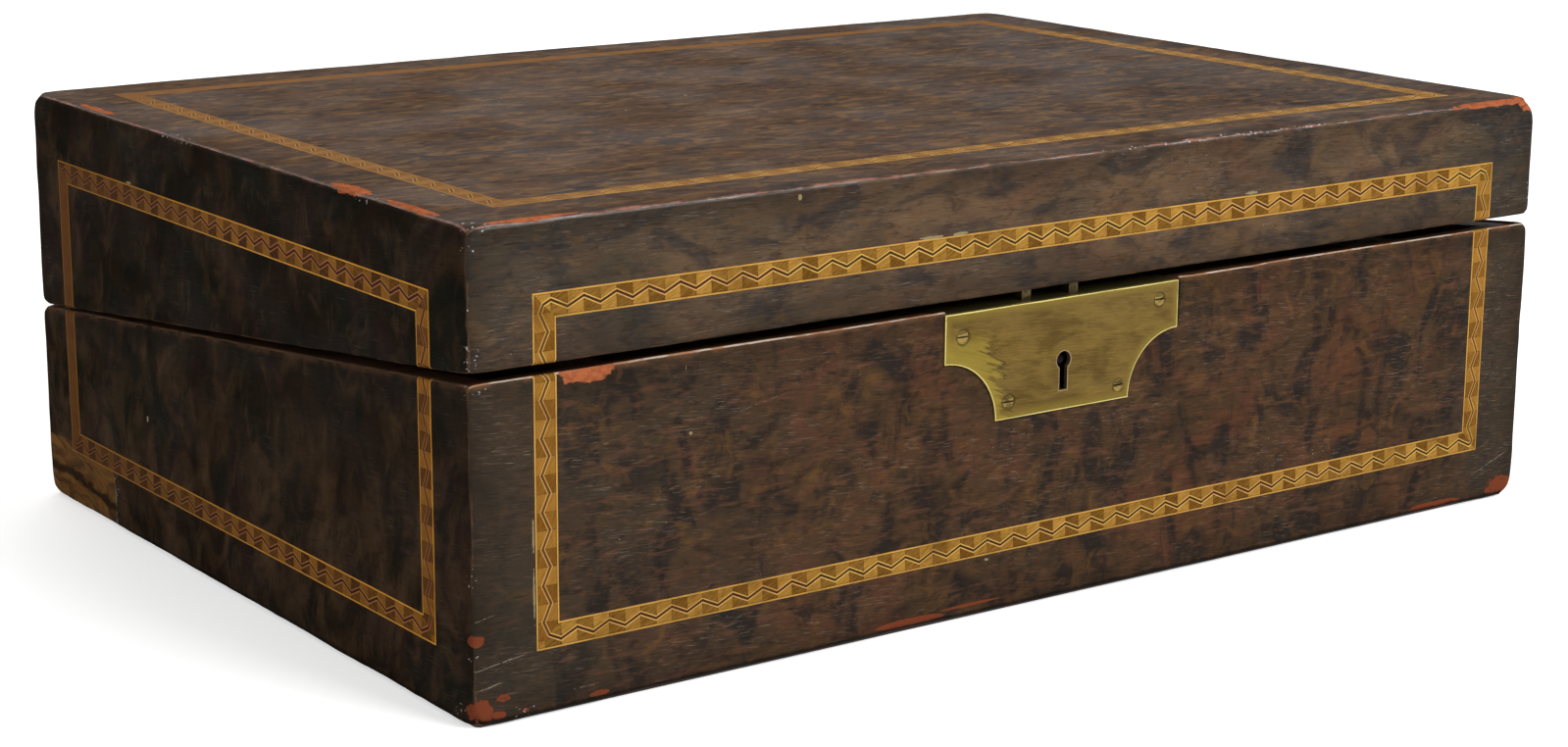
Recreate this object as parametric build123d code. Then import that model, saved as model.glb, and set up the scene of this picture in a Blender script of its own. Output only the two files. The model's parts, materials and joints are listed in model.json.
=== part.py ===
from build123d import *
import os
from math import atan2, cos, degrees, radians, tan

# A portable writing slope. A veneered box is split on a slant, high at the lock side and low at
# the hinge side, so that the lid turns right over on its back hinges and the two rims make one
# long slope. Each half holds a leather-covered flap over a paper well.
# +X runs along the box to the right, +Y from the lock side to the hinge side, +Z up. The origin
# is the centre of the underside. All sizes are in millimetres.

# ------------------------------------------------------------------------ driving dimensions
# Carcase
WIDTH = 400.0
DEPTH = 280.0
BASE_FRONT = 93.0       # height of the base's rim at the lock side
BASE_BACK = 63.5        # height of the base's rim at the hinge side
LID_FRONT = 38.5        # height of the lid's front face
FRONT_GAP = 2.5         # the closed lid stands this far off the base at the lock side
BACK_GAP = 0.5          # and this far at the hinge side
BOARD = 10.0            # the walls of both halves
PANEL = 8.0             # the bottom board and the top board
VENEER = 1.0
VENEER_FOOT = 0.3       # the veneer stops this far above the table
EDGE_ROUND = 2.0
RIM_ROUND = 0.8
TOP_WEAR = 8.0          # how far a rubbed corner runs along each of its edges: lid's top
FOOT_WEAR = 6.0         # base's underside
RIM_WEAR = 3.0          # both rims

# Banding, let into the veneer
BAND = 7.0
BAND_MARGIN = 19.5      # from the ends and the top of each upright face
BAND_FOOT = 18.4        # from the underside
TOP_BAND_MARGIN = 20.0  # from the four edges of the top

# Box lock
LOCK_X = -1.0           # the lock sits a little left of the middle
PLATE_WIDTH = 89.0
PLATE_HEIGHT = 33.5
PLATE_PROUD = 0.6       # how far the plate stands out of the front
PLATE_SCOOP = 19.0      # radius of the hollow corners
FLANGE = 1.6            # thickness of the top flange of the plate
LOCK_WOOD = 1.5         # wood left behind the lock case
KEYHOLE_RADIUS = 2.65
KEYHOLE_DROP = 18.7     # from the flange's top to the round of the keyhole
KEYHOLE_SLOT = 3.0
KEYHOLE_LENGTH = 9.0    # from the round's centre to the slot's foot
LOCK_SCREWS = ((-38.2, -7.0), (37.1, -5.1), (-20.8, -28.4), (21.6, -29.2))
CASE_WIDTH = 37.0
CASE_HEIGHT = 30.5
SHEET = 1.0             # sheet brass of the lock case
POST_RADIUS = 1.3
BOLT_TRAVEL = 4.0
BOLT_THICK = 2.4
BOLT_BAR = 3.6          # height of the bolt's bar
BOLT_DROP = 1.1         # from the hooks' feet down to the bar
BOLT_UPRIGHT = 1.9      # width of the bolt's uprights
BOLT_NOTCH = 4.8        # width of the notch the key pushes
FINGER_THICK = 1.6
FINGER_HEIGHT = 2.4
EYE_GAP = 0.6           # round a finger in a hook's eye
HOOK_OFFSET = -2.7      # from the lock's middle to the hooks' middle
HOOK_SPACING = 18.0
HOOK_WIDTH = 2.4
HOOK_THICK = 3.6
HOOK_SHOULDER = 3.4     # width of the hook above the flange, where it rests
HOOK_DROP = 10.4        # from the flange's top to the hook's foot
HOOK_SETBACK = 4.0      # from the board's face to the hook's middle
HOOK_SWING = 1.3        # room behind the hook as the lid turns it out of the lock
LINK_LENGTH = 60.0
SPRING_THICK = 0.4
SPRING_INSET = 1.0      # from the case's wall to the spring's foot

# Main hinges
HINGE_LENGTH = 50.0
HINGE_INSET = 70.0      # from each end of the box to the hinge's middle
HINGE_KNUCKLE = 2.6     # radius
HINGE_PIN = 1.25        # radius
HINGE_LEAF = 1.6
HINGE_LEAF_WIDTH = 9.0
HINGE_OUT = 0.4         # the pin's centre lies this far behind the back face
HINGE_KNUCKLES = 5
HINGE_SCREW = 1.2       # radius
HINGE_SCREW_HEAD = 2.2
HINGE_SCREW_LENGTH = 10.0
PLATE_SCREW = 1.1       # the lock plate's screws
PLATE_SCREW_HEAD = 2.0
PLATE_SCREW_LENGTH = 8.0
LINK_SCREW_INSET = 8.0  # from the ends of the link plate

# Writing flaps and what carries them
RECESS = 1.6            # the flaps lie this far below the rims
FLAP = 7.0
FLAP_PLAY = 0.8         # round the flap
HINGE_RAIL = 12.0
FRONT_RAIL = 16.0
LEDGE = 6.0
LEATHER = 1.0
LEATHER_MARGIN = 15.0
FLAP_HINGE_LENGTH = 30.0
FLAP_HINGE_INSET = 90.0
FLAP_KNUCKLE = 1.5
FLAP_PIN = 0.7
FLAP_LEAF = 0.8
FLAP_LEAF_DEPTH = 6.0
FLAP_KNUCKLES = 3

# Turn button that keeps the lid's flap shut
BUTTON_LENGTH = 20.0
BUTTON_WIDTH = 6.4
BUTTON_THICK = 1.2
BUTTON_LIFT = 0.2
BUTTON_INSET = 4.2      # from the rail's edge to the button's screw

# Ink and pen bay
INK_BAY = 48.0
DIVIDER = 7.0
FLAP_LAP = 4.0          # how much of the divider the flap covers
BAY_FLOOR = 6.0
WELL_BAY = 45.0
PARTITION = 4.0
PARTITION_SINK = 3.0    # the partitions stop this far below the rim
CAP_SINK = 3.0          # the inkwell caps stop this far below the rim
INKWELL = 38.0
INKWELL_HEIGHT = 36.0
INKWELL_CORNER = 4.0
INKWELL_WALL = 5.0
INKWELL_NECK = 9.0      # radius of the neck's bore
COLLAR_WALL = 4.0
COLLAR_HEIGHT = 3.0
CAP_HEIGHT = 7.0
CAP_DOME = 2.0
TRAY_HEIGHT = 34.0
TRAY_RIM = 6.0
TRAY_DEPTH = 16.0
TRAY_CURVE = 12.0

# Clearances
FIT = 0.1               # let-in metalwork and loose trays, each side
SCREW_FIT = 0.05
PIN_FIT = 0.05
KNUCKLE_PLAY = 0.15
TROUGH_PLAY = 0.3       # round the main knuckles, in the wood
CUT_OVER = 1.0          # how far a cutter reaches past what it cuts

# ------------------------------------------------------------------------ derived places
HALF_X, HALF_Y = WIDTH / 2, DEPTH / 2
LID_FRONT_RIM = BASE_FRONT + FRONT_GAP
LID_BACK_RIM = BASE_BACK + BACK_GAP
HEIGHT = LID_FRONT_RIM + LID_FRONT
WALL = VENEER + BOARD
SKIN_X, SKIN_Y = HALF_X - VENEER, HALF_Y - VENEER
INSIDE_X, INSIDE_Y = HALF_X - WALL, HALF_Y - WALL
CEILING = HEIGHT - VENEER - PANEL
BASE_TILT = degrees(atan2(BASE_FRONT - BASE_BACK, DEPTH))
LID_TILT = degrees(atan2(LID_FRONT_RIM - LID_BACK_RIM, DEPTH))
# Each rim is the plane z = 0 of a frame whose origin is on the back face and whose y runs
# along the slope, so depth into the base is -z in its frame and depth into the lid is +z.
BASE_RIM = Pos(0, HALF_Y, BASE_BACK) * Rot(-BASE_TILT, 0, 0)
LID_RIM = Pos(0, HALF_Y, LID_BACK_RIM) * Rot(-LID_TILT, 0, 0)
HINGE_Y = HALF_Y + HINGE_OUT
HINGE_Z = BASE_BACK + BACK_GAP / 2
REACH = WIDTH + DEPTH + HEIGHT
ALONG_X = Rot(0, 90, 0)


def base_rim_height(y):
    """Height of the base's rim plane above the table at a distance y from the middle."""
    return BASE_BACK + (HALF_Y - y) * tan(radians(BASE_TILT))


BAY_BACK = -INSIDE_Y + INK_BAY
DIVIDER_BACK = BAY_BACK + DIVIDER
BAY_Y = BAY_BACK - INK_BAY / 2
FLOOR_TOP = base_rim_height(BAY_BACK) - CAP_SINK - INKWELL_HEIGHT - COLLAR_HEIGHT - CAP_HEIGHT
LOCK_DEPTH = BOARD - LOCK_WOOD
LOCK_TOP = base_rim_height(-SKIN_Y + LOCK_DEPTH)
LOCK = Pos(LOCK_X, -SKIN_Y, LOCK_TOP)       # x along the plate, y into the wood, z = 0 flange top
FLAP_AXIS = WALL + HINGE_RAIL               # from the back face, along the slope
BASE_FLAP_END = (DEPTH - WALL - INK_BAY - DIVIDER + FLAP_LAP) / cos(radians(BASE_TILT))
FRONT_RAIL_EDGE = (DEPTH - WALL - FRONT_RAIL) / cos(radians(LID_TILT))
LID_FLAP_END = FRONT_RAIL_EDGE - FLAP_PLAY
HINGE_SPOTS = (-HALF_X + HINGE_INSET, HALF_X - HINGE_INSET)
FLAP_HINGE_SPOTS = (-HALF_X + FLAP_HINGE_INSET, HALF_X - FLAP_HINGE_INSET)


# ------------------------------------------------------------------------ helpers
def block(x, y, z):
    """A box between a low and a high value on each axis."""
    sizes = [high - low for low, high in (x, y, z)]
    centre = [(high + low) / 2 for low, high in (x, y, z)]
    return Pos(*centre) * Box(*sizes)


def both(value):
    """The span from -value to value."""
    return (-value, value)


def depths(side, near, far):
    """The span of z between two depths below a rim: side is -1 in the base, 1 in the lid."""
    return tuple(sorted((side * near, side * far)))


def export(name, *solids):
    """Write one node, which may hold several separate solids."""
    shape = solids[0] if len(solids) == 1 else Compound(children=[s for s in solids])
    export_step(shape, f"parts/{name}.step")


def rod(radius, length):
    """A cylinder along X about the origin."""
    return ALONG_X * Cylinder(radius, length)


def screw(head, shank, length, fit=0.0):
    """A countersunk wood screw along -Z with its head at z = 0. With a fit it is the hole for one."""
    sink = head - shank
    solid = Pos(0, 0, -sink / 2) * Cone(shank + fit, head + fit, sink)
    solid += Pos(0, 0, -(sink + length) / 2) * Cylinder(shank + fit, length - sink)
    if fit:
        return solid + Pos(0, 0, CUT_OVER) * Cylinder(head + fit, 2 * CUT_OVER)
    return solid - Box(3 * head, head / 4, head / 4)


def rubbed_corner(corner, middle, run):
    """What wear takes off a corner: a cube of side 2 run less the ball that keeps the edges.

    The ball is centred on the cube's inner corner with radius 3 run, so it meets each edge at
    a distance run from the corner and leaves the edge whole beyond it.
    """
    inward = [1 if m > c else -1 for c, m in zip(corner, middle)]
    ball = [c + 2 * run * i for c, i in zip(corner, inward)]
    beyond = [c - run * i for c, i in zip(corner, inward)]
    cube = block(*[sorted(ends) for ends in zip(ball, beyond)])
    return cube - Pos(*ball) * Sphere(3 * run)


def leaf(plate, axis, length, count, first, knuckle, pin):
    """A hinge leaf: its plate, every second knuckle from number first, and the pin's bore."""
    step = length / count
    for number in range(count):
        spot = axis * Pos((number + 0.5) * step - length / 2, 0, 0)
        if number % 2 == first:
            plate += spot * rod(knuckle, step - KNUCKLE_PLAY)
        else:
            plate -= spot * rod(knuckle + KNUCKLE_PLAY, step + KNUCKLE_PLAY)
    return plate - axis * rod(pin + PIN_FIT, 2 * length)


# ------------------------------------------------------------------------ outer form
def half_form(rim, side, outer_z, outer_wear):
    """The solid outer form of one half: rounded, cut at its rim, with its eight corners rubbed."""
    whole = Pos(0, 0, HEIGHT / 2) * Box(WIDTH, DEPTH, HEIGHT)
    whole = fillet(whole.edges(), EDGE_ROUND)
    form = whole & rim * block(both(REACH), both(REACH), depths(side, 0, REACH))
    rim_face = form.faces().sort_by(Axis.Z)[-1 if side < 0 else 0]
    form = fillet(rim_face.edges(), RIM_ROUND)
    middle_z = outer_z - side * HEIGHT / 8
    for x in both(HALF_X):
        for y in both(HALF_Y):
            rim_z = rim.position.Z + (HALF_Y - y) * tan(radians(-rim.orientation.X))
            middle = (0, 0, middle_z)
            form -= rubbed_corner((x, y, outer_z), middle, outer_wear)
            form -= rubbed_corner((x, y, rim_z), middle, RIM_WEAR)
    return form


def banding(face, low, high):
    """Four mitred strips round a rectangle on a face, in the order foot, right, head, left."""
    (x0, y0), (x1, y1) = low, high
    outer = [(x0, y0), (x1, y0), (x1, y1), (x0, y1)]
    inner_x, inner_y = (x0 + BAND, x1 - BAND), (y0 + BAND, y1 - BAND)
    inner = [(inner_x[0], inner_y[0]), (inner_x[1], inner_y[0]),
             (inner_x[1], inner_y[1]), (inner_x[0], inner_y[1])]
    strips = []
    for first in range(4):
        second = (first + 1) % 4
        outline = Polygon(outer[first], outer[second], inner[second], inner[first], align=None)
        strips.append(extrude(face * outline, VENEER))
    return strips


FRONT_FACE = Plane(origin=(0, -SKIN_Y, 0), x_dir=(1, 0, 0), z_dir=(0, -1, 0))
LEFT_FACE = Plane(origin=(-SKIN_X, 0, 0), x_dir=(0, -1, 0), z_dir=(-1, 0, 0))
RIGHT_FACE = Plane(origin=(SKIN_X, 0, 0), x_dir=(0, 1, 0), z_dir=(1, 0, 0))
TOP_FACE = Plane(origin=(0, 0, HEIGHT - VENEER), x_dir=(1, 0, 0), z_dir=(0, 0, 1))


def upright_bands(face, half_length):
    """The banding strips of one upright face, before the rims divide them."""
    low = (-half_length + BAND_MARGIN, BAND_FOOT)
    high = (half_length - BAND_MARGIN, HEIGHT - BAND_MARGIN)
    return banding(face, low, high)


FRONT_BANDS = upright_bands(FRONT_FACE, HALF_X)
LEFT_BANDS = upright_bands(LEFT_FACE, HALF_Y)
RIGHT_BANDS = upright_bands(RIGHT_FACE, HALF_Y)
TOP_BANDS = banding(TOP_FACE, (TOP_BAND_MARGIN - HALF_X, TOP_BAND_MARGIN - HALF_Y),
                    (HALF_X - TOP_BAND_MARGIN, HALF_Y - TOP_BAND_MARGIN))
FOOT, RIGHT, HEAD, LEFT = range(4)


# ------------------------------------------------------------------------ main hinges
def main_hinges(rim, side, first):
    """The leaves of one half, their screws, and the wood to cut away for them."""
    leaves, screws, cuts = [], [], []
    for x in HINGE_SPOTS:
        axis = Pos(x, HINGE_Y, HINGE_Z)
        ends = (x - HINGE_LENGTH / 2, x + HINGE_LENGTH / 2)
        plate = rim * block(ends, (-HINGE_LEAF_WIDTH, 0), depths(side, 0, HINGE_LEAF))
        plate = leaf(plate, axis, HINGE_LENGTH, HINGE_KNUCKLES, first, HINGE_KNUCKLE, HINGE_PIN)
        cuts.append(rim * block((ends[0] - FIT, ends[1] + FIT), (-HINGE_LEAF_WIDTH - FIT, WALL),
                                depths(side, -WALL, HINGE_LEAF)))
        cuts.append(axis * rod(HINGE_KNUCKLE + TROUGH_PLAY, HINGE_LENGTH + 2 * TROUGH_PLAY))
        for offset in (-HINGE_LENGTH / 3, 0, HINGE_LENGTH / 3):
            spot = rim * Pos(x + offset, -HINGE_LEAF_WIDTH / 2 - HINGE_OUT, 0)
            spot *= Rot(0 if side < 0 else 180, 0, 0)
            screws.append(spot * screw(HINGE_SCREW_HEAD, HINGE_SCREW, HINGE_SCREW_LENGTH))
            hole = spot * screw(HINGE_SCREW_HEAD, HINGE_SCREW, HINGE_SCREW_LENGTH, SCREW_FIT)
            plate -= hole
            cuts.append(hole)
        leaves.append(plate)
    return leaves, screws, cuts


BASE_LEAVES, BASE_SCREWS, BASE_CUTS = main_hinges(BASE_RIM, -1, 0)
LID_LEAVES, LID_SCREWS, LID_CUTS = main_hinges(LID_RIM, 1, 1)
HINGE_PINS = [Pos(x, HINGE_Y, HINGE_Z) * rod(HINGE_PIN, HINGE_LENGTH) for x in HINGE_SPOTS]


# ------------------------------------------------------------------------ box lock
def plate_outline(fit=0.0):
    """The lock plate's face, its top edge on y = 0; with a fit, the recess for it, open above."""
    width = PLATE_WIDTH + 2 * fit
    outline = Pos(0, -(PLATE_HEIGHT + fit) / 2) * Rectangle(width, PLATE_HEIGHT + fit)
    for x in both(width / 2):
        outline -= Pos(x, -PLATE_HEIGHT - fit) * Circle(PLATE_SCOOP)
    if fit:
        outline += Pos(0, WALL / 2) * Rectangle(width, WALL)
    return outline


def keyhole():
    """A round hole with a slot hanging from it."""
    slot = Pos(0, -KEYHOLE_LENGTH / 2) * Rectangle(KEYHOLE_SLOT, KEYHOLE_LENGTH)
    return Pos(0, -KEYHOLE_DROP) * (Circle(KEYHOLE_RADIUS) + slot)


LOCK_FACE = Plane(origin=(LOCK_X, -SKIN_Y, LOCK_TOP), x_dir=(1, 0, 0), z_dir=(0, -1, 0))
PLATE_THICK = VENEER + PLATE_PROUD
HOOKS = (HOOK_OFFSET - HOOK_SPACING / 2, HOOK_OFFSET + HOOK_SPACING / 2)
HOOK_Y = (HOOK_SETBACK - HOOK_THICK / 2, HOOK_SETBACK + HOOK_THICK / 2)
FINGER_TOP = -FLANGE - EYE_GAP - HOOK_DROP / 3
FINGER_Z = (FINGER_TOP - FINGER_HEIGHT, FINGER_TOP)
EYE_Z = (FINGER_Z[0] - EYE_GAP, FINGER_Z[1] + EYE_GAP)
BAR_Z = (-HOOK_DROP - BOLT_DROP - BOLT_BAR, -HOOK_DROP - BOLT_DROP)

plate_screw_size = (PLATE_SCREW_HEAD, PLATE_SCREW, PLATE_SCREW_LENGTH)
plate_screw_spots = [LOCK * Pos(x, -PLATE_THICK, z) * Rot(90, 0, 0) for x, z in LOCK_SCREWS]
PLATE_SCREWS = [spot * screw(*plate_screw_size) for spot in plate_screw_spots]
PLATE_SCREW_HOLES = [spot * screw(*plate_screw_size, SCREW_FIT) for spot in plate_screw_spots]

lock_plate = extrude(LOCK_FACE * (plate_outline() - keyhole()), PLATE_THICK)
lock_plate += LOCK * block(both(PLATE_WIDTH / 2), (0, LOCK_DEPTH), (-FLANGE, 0))
for hook_x in HOOKS:
    lock_plate -= LOCK * block((hook_x - HOOK_WIDTH / 2 - 3 * FIT, hook_x + HOOK_WIDTH / 2 + 3 * FIT),
                               (HOOK_Y[0] - 3 * FIT, HOOK_Y[1] + HOOK_SWING), (-2 * FLANGE, FLANGE))

lock_case = LOCK * block(both(CASE_WIDTH / 2), (0, LOCK_DEPTH), (-CASE_HEIGHT, -FLANGE))
lock_case -= LOCK * block(both(CASE_WIDTH / 2 - SHEET), (-CUT_OVER, LOCK_DEPTH - SHEET),
                          (SHEET - CASE_HEIGHT, 0))

key_post = LOCK * Pos(0, (LOCK_DEPTH - SHEET) / 2, -KEYHOLE_DROP) * Rot(90, 0, 0)
key_post *= Cylinder(POST_RADIUS, LOCK_DEPTH - SHEET)

# The bolt is a bar under the hooks with an upright beside each hook, and a finger on each
# upright that enters the hook's eye as the bolt slides along -X.
bolt_y = (HOOK_SETBACK - BOLT_THICK / 2, HOOK_SETBACK + BOLT_THICK / 2)
finger_y = (HOOK_SETBACK - FINGER_THICK / 2, HOOK_SETBACK + FINGER_THICK / 2)
upright_near = HOOK_WIDTH / 2 + EYE_GAP + BOLT_TRAVEL       # from a hook's middle
upright_far = upright_near + BOLT_UPRIGHT
lock_bolt = LOCK * block((HOOKS[0] - HOOK_WIDTH / 2, HOOKS[1] + upright_far), bolt_y, BAR_Z)
for hook_x in HOOKS:
    upright_ends = (hook_x + upright_near, hook_x + upright_far)
    lock_bolt += LOCK * block(upright_ends, finger_y, (BAR_Z[0], FINGER_Z[1]))
    lock_bolt += LOCK * block((upright_ends[0] - BOLT_TRAVEL, upright_ends[1]), finger_y, FINGER_Z)
lock_bolt -= LOCK * block(both(BOLT_NOTCH / 2), (0, LOCK_DEPTH),
                          (BAR_Z[0] - CUT_OVER, BAR_Z[0] + BOLT_THICK / 2))

# A flat spring stands on the floor of the case and leans up to the bolt's bar.
spring_foot = (SHEET + SPRING_INSET - CASE_WIDTH / 2, SHEET - CASE_HEIGHT)
spring_tip = (-CASE_WIDTH / 5, BAR_Z[0] - 2 * FIT - SPRING_THICK)
spring_line = Polygon(spring_foot, (spring_foot[0] + SPRING_THICK, spring_foot[1]),
                      spring_tip, (spring_tip[0], spring_tip[1] + SPRING_THICK), align=None)
lock_spring = Pos(0, HOOK_SETBACK + BOLT_THICK / 2, 0) * extrude(LOCK_FACE * spring_line, BOLT_THICK)

LOCK_CUTS = [
    extrude(LOCK_FACE * plate_outline(FIT), PLATE_THICK + CUT_OVER),
    LOCK * block(both(PLATE_WIDTH / 2 + FIT), (0, LOCK_DEPTH + FIT), (-FLANGE, WALL)),
    LOCK * block(both(CASE_WIDTH / 2 + FIT), (0, LOCK_DEPTH + FIT), (-CASE_HEIGHT - FIT, 0)),
]

# The link plate is let into the lid's rim. Its hooks stand on the lock's flange with their
# shoulders, which holds the lid off at the front, and hang through it into the case.
link_ends = (LOCK_X - LINK_LENGTH / 2, LOCK_X + LINK_LENGTH / 2)
link_y = (-DEPTH / cos(radians(LID_TILT)) + 2 * VENEER, -DEPTH + WALL - LOCK_WOOD)
link_plate = LID_RIM * block(link_ends, link_y, (0, FLANGE))
link_top = LID_FRONT_RIM - LOCK_TOP
for hook_x in HOOKS:
    hook = block((hook_x - HOOK_SHOULDER / 2, hook_x + HOOK_SHOULDER / 2), HOOK_Y, (0, link_top))
    hook += block((hook_x - HOOK_WIDTH / 2, hook_x + HOOK_WIDTH / 2), HOOK_Y, (-HOOK_DROP, 0))
    hook -= block((hook_x - HOOK_SHOULDER, hook_x + HOOK_SHOULDER),
                  (finger_y[0] - FIT, finger_y[1] + FIT), EYE_Z)
    link_plate += LOCK * hook
LINK_SCREWS, LINK_CUTS = [], [LID_RIM * block((link_ends[0] - FIT, link_ends[1] + FIT),
                                              (link_y[0] - FIT, link_y[1] + FIT), (-WALL, FLANGE))]
for x in (link_ends[0] + LINK_SCREW_INSET, link_ends[1] - LINK_SCREW_INSET):
    spot = LID_RIM * Pos(x, sum(link_y) / 2, 0) * Rot(180, 0, 0)
    LINK_SCREWS.append(spot * screw(HINGE_SCREW_HEAD, HINGE_SCREW, HINGE_SCREW_LENGTH))
    LINK_CUTS.append(spot * screw(HINGE_SCREW_HEAD, HINGE_SCREW, HINGE_SCREW_LENGTH, SCREW_FIT))
    link_plate -= LINK_CUTS[-1]


# ------------------------------------------------------------------------ carcases
def cut(solid, cutters):
    """A solid less each of the cutters that reach it."""
    for cutter in cutters:
        solid -= cutter
    return solid


BASE_FORM = half_form(BASE_RIM, -1, 0, FOOT_WEAR)
LID_FORM = half_form(LID_RIM, 1, HEIGHT, TOP_WEAR)
SIDES = {"left": -1, "right": 1}


def side_span(skin, thick, side):
    """The x span of something of a thickness whose outer face is at side times skin."""
    return tuple(sorted((side * skin, side * (skin - thick))))


def carcase(name, form, span_z, veneer_z, front_cuts, back_cuts):
    """Export the four boards and the four upright veneers of one half."""
    back_y, front_y = (INSIDE_Y, SKIN_Y), (-SKIN_Y, -INSIDE_Y)
    export(f"{name}_front_board", cut(form & block(both(SKIN_X), front_y, span_z), front_cuts))
    export(f"{name}_back_board", cut(form & block(both(SKIN_X), back_y, span_z), back_cuts))
    for side, sign in SIDES.items():
        board = block(side_span(SKIN_X, BOARD, sign), both(INSIDE_Y), span_z)
        export(f"{name}_{side}_board", form & board)
    front = form & block(both(HALF_X), (-HALF_Y, -SKIN_Y), veneer_z)
    export(f"{name}_front_veneer", *cut(front, front_cuts + FRONT_BANDS).solids())
    back = form & block(both(HALF_X), (SKIN_Y, HALF_Y), veneer_z)
    export(f"{name}_back_veneer", *cut(back, back_cuts).solids())
    sides = []
    for sign, bands in ((-1, LEFT_BANDS), (1, RIGHT_BANDS)):
        sheet = form & block(side_span(HALF_X, VENEER, sign), both(SKIN_Y), veneer_z)
        sides += cut(sheet, bands).solids()
    export(f"{name}_side_veneers", *sides)


def band_nodes(name, form, strips):
    """Export the banding strips that one half carries on its front and its two sides."""
    export(f"{name}_front_banding", *[form & FRONT_BANDS[strip] for strip in strips])
    sides = [form & bands[strip] for bands in (LEFT_BANDS, RIGHT_BANDS) for strip in strips]
    export(f"{name}_side_bandings", *sides)


# ------------------------------------------------------------------------ writing flaps
def below(rim, side, depth):
    """All the space deeper than a depth below a rim."""
    return rim * block(both(REACH), both(REACH), depths(side, depth, REACH))


def flap_hinges(rim, side):
    """The fixed leaves, the moving leaves, the pins, and the wood to cut for each kind of leaf."""
    fixed, moving, pins, fixed_cuts, moving_cuts = [], [], [], [], []
    leaf_y = (FLAP_KNUCKLE - FLAP_LEAF, FLAP_KNUCKLE)
    notch_y = (-FIT, FLAP_KNUCKLE)
    for x in FLAP_HINGE_SPOTS:
        axis = rim * Pos(x, -FLAP_AXIS, side * RECESS)
        ends = both(FLAP_HINGE_LENGTH / 2)
        notch_ends = both(FLAP_HINGE_LENGTH / 2 + FIT)
        leaf_z = depths(side, 0, FLAP_LEAF_DEPTH)
        notch_z = depths(side, -RECESS, FLAP_LEAF_DEPTH + FIT)
        pins.append(axis * rod(FLAP_PIN, FLAP_HINGE_LENGTH))
        for way, leaves, cuts, first in ((1, fixed, fixed_cuts, 0), (-1, moving, moving_cuts, 1)):
            plate = axis * block(ends, sorted((way * leaf_y[0], way * leaf_y[1])), leaf_z)
            leaves.append(leaf(plate, axis, FLAP_HINGE_LENGTH, FLAP_KNUCKLES, first,
                               FLAP_KNUCKLE, FLAP_PIN))
            cuts.append(axis * block(notch_ends, sorted((way * notch_y[0], way * notch_y[1])), notch_z))
    return fixed, moving, pins, fixed_cuts, moving_cuts


def writing_flap(name, rim, side, well, free_end):
    """Export one flap, its leather, its hinges, and the rail and ledges that carry it."""
    under = RECESS + FLAP
    layer = depths(side, RECESS, under)
    inside_x = both(INSIDE_X)
    fixed, moving, pins, fixed_cuts, moving_cuts = flap_hinges(rim, side)
    rail = well & rim * block(inside_x, (-FLAP_AXIS + FLAP_PLAY / 2, WALL), layer)
    export(f"{name}_hinge_rail", cut(rail, fixed_cuts))
    flap_x = both(INSIDE_X - FLAP_PLAY)
    flap_y = (-free_end, -FLAP_AXIS - FLAP_PLAY / 2)
    leather_x = both(flap_x[1] - LEATHER_MARGIN)
    leather_y = (flap_y[0] + LEATHER_MARGIN, flap_y[1] - LEATHER_MARGIN)
    leather = rim * block(leather_x, leather_y, depths(side, RECESS, RECESS + LEATHER))
    panel = rim * block(flap_x, flap_y, layer) - leather
    export(f"{name}_flap_panel", cut(panel, moving_cuts))
    export(f"{name}_flap_leather", leather)
    export(f"{name}_flap_fixed_leaves", *fixed)
    export(f"{name}_flap_moving_leaves", *moving)
    export(f"{name}_flap_hinge_pins", *pins)
    ledge_layer = depths(side, under, under + LEDGE)
    ledges = [well & rim * block(side_span(INSIDE_X, LEDGE, sign), both(REACH), ledge_layer)
              for sign in SIDES.values()]
    if side > 0:
        cross_y = (-REACH, -FRONT_RAIL_EDGE + LEDGE)
        ledges.append(well & rim * block(both(INSIDE_X - LEDGE), cross_y, ledge_layer))
    export(f"{name}_ledges", *ledges)


# ------------------------------------------------------------------------ ink and pen bay
def inkwell():
    """A square glass bottle with cut corners and a round hollow, standing on z = 0."""
    glass = Pos(0, 0, INKWELL_HEIGHT / 2) * Box(INKWELL, INKWELL, INKWELL_HEIGHT)
    glass = chamfer(glass.edges().filter_by(Axis.Z), INKWELL_CORNER)
    hollow = INKWELL_HEIGHT - 2 * INKWELL_WALL
    glass -= Pos(0, 0, INKWELL_HEIGHT / 2) * Cylinder(INKWELL / 2 - INKWELL_WALL, hollow)
    return glass - Pos(0, 0, INKWELL_HEIGHT) * Cylinder(INKWELL_NECK, 3 * INKWELL_WALL)


def inkwell_collar():
    """The brass ring on the glass, standing on z = 0."""
    ring = Cylinder(INKWELL_NECK + COLLAR_WALL, COLLAR_HEIGHT)
    return Pos(0, 0, COLLAR_HEIGHT / 2) * (ring - Cylinder(INKWELL_NECK, 2 * COLLAR_HEIGHT))


def inkwell_cap():
    """A round brass cap with a softened top, standing on z = 0."""
    cap = Pos(0, 0, CAP_HEIGHT / 2) * Cylinder(INKWELL_NECK + COLLAR_WALL, CAP_HEIGHT)
    return fillet(cap.edges().sort_by(Axis.Z)[-1], CAP_DOME)


def pen_tray():
    """A block with a long rounded trough in its top, standing on z = 0."""
    length = 2 * (INSIDE_X - WELL_BAY - PARTITION - 4 * FIT)
    width = INK_BAY - 4 * FIT
    trough = Box(length - 2 * TRAY_RIM, width - 2 * TRAY_RIM, 2 * TRAY_DEPTH)
    trough = fillet(trough.edges(), TRAY_CURVE)
    return Pos(0, 0, TRAY_HEIGHT / 2) * Box(length, width, TRAY_HEIGHT) - Pos(0, 0, TRAY_HEIGHT) * trough


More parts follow.
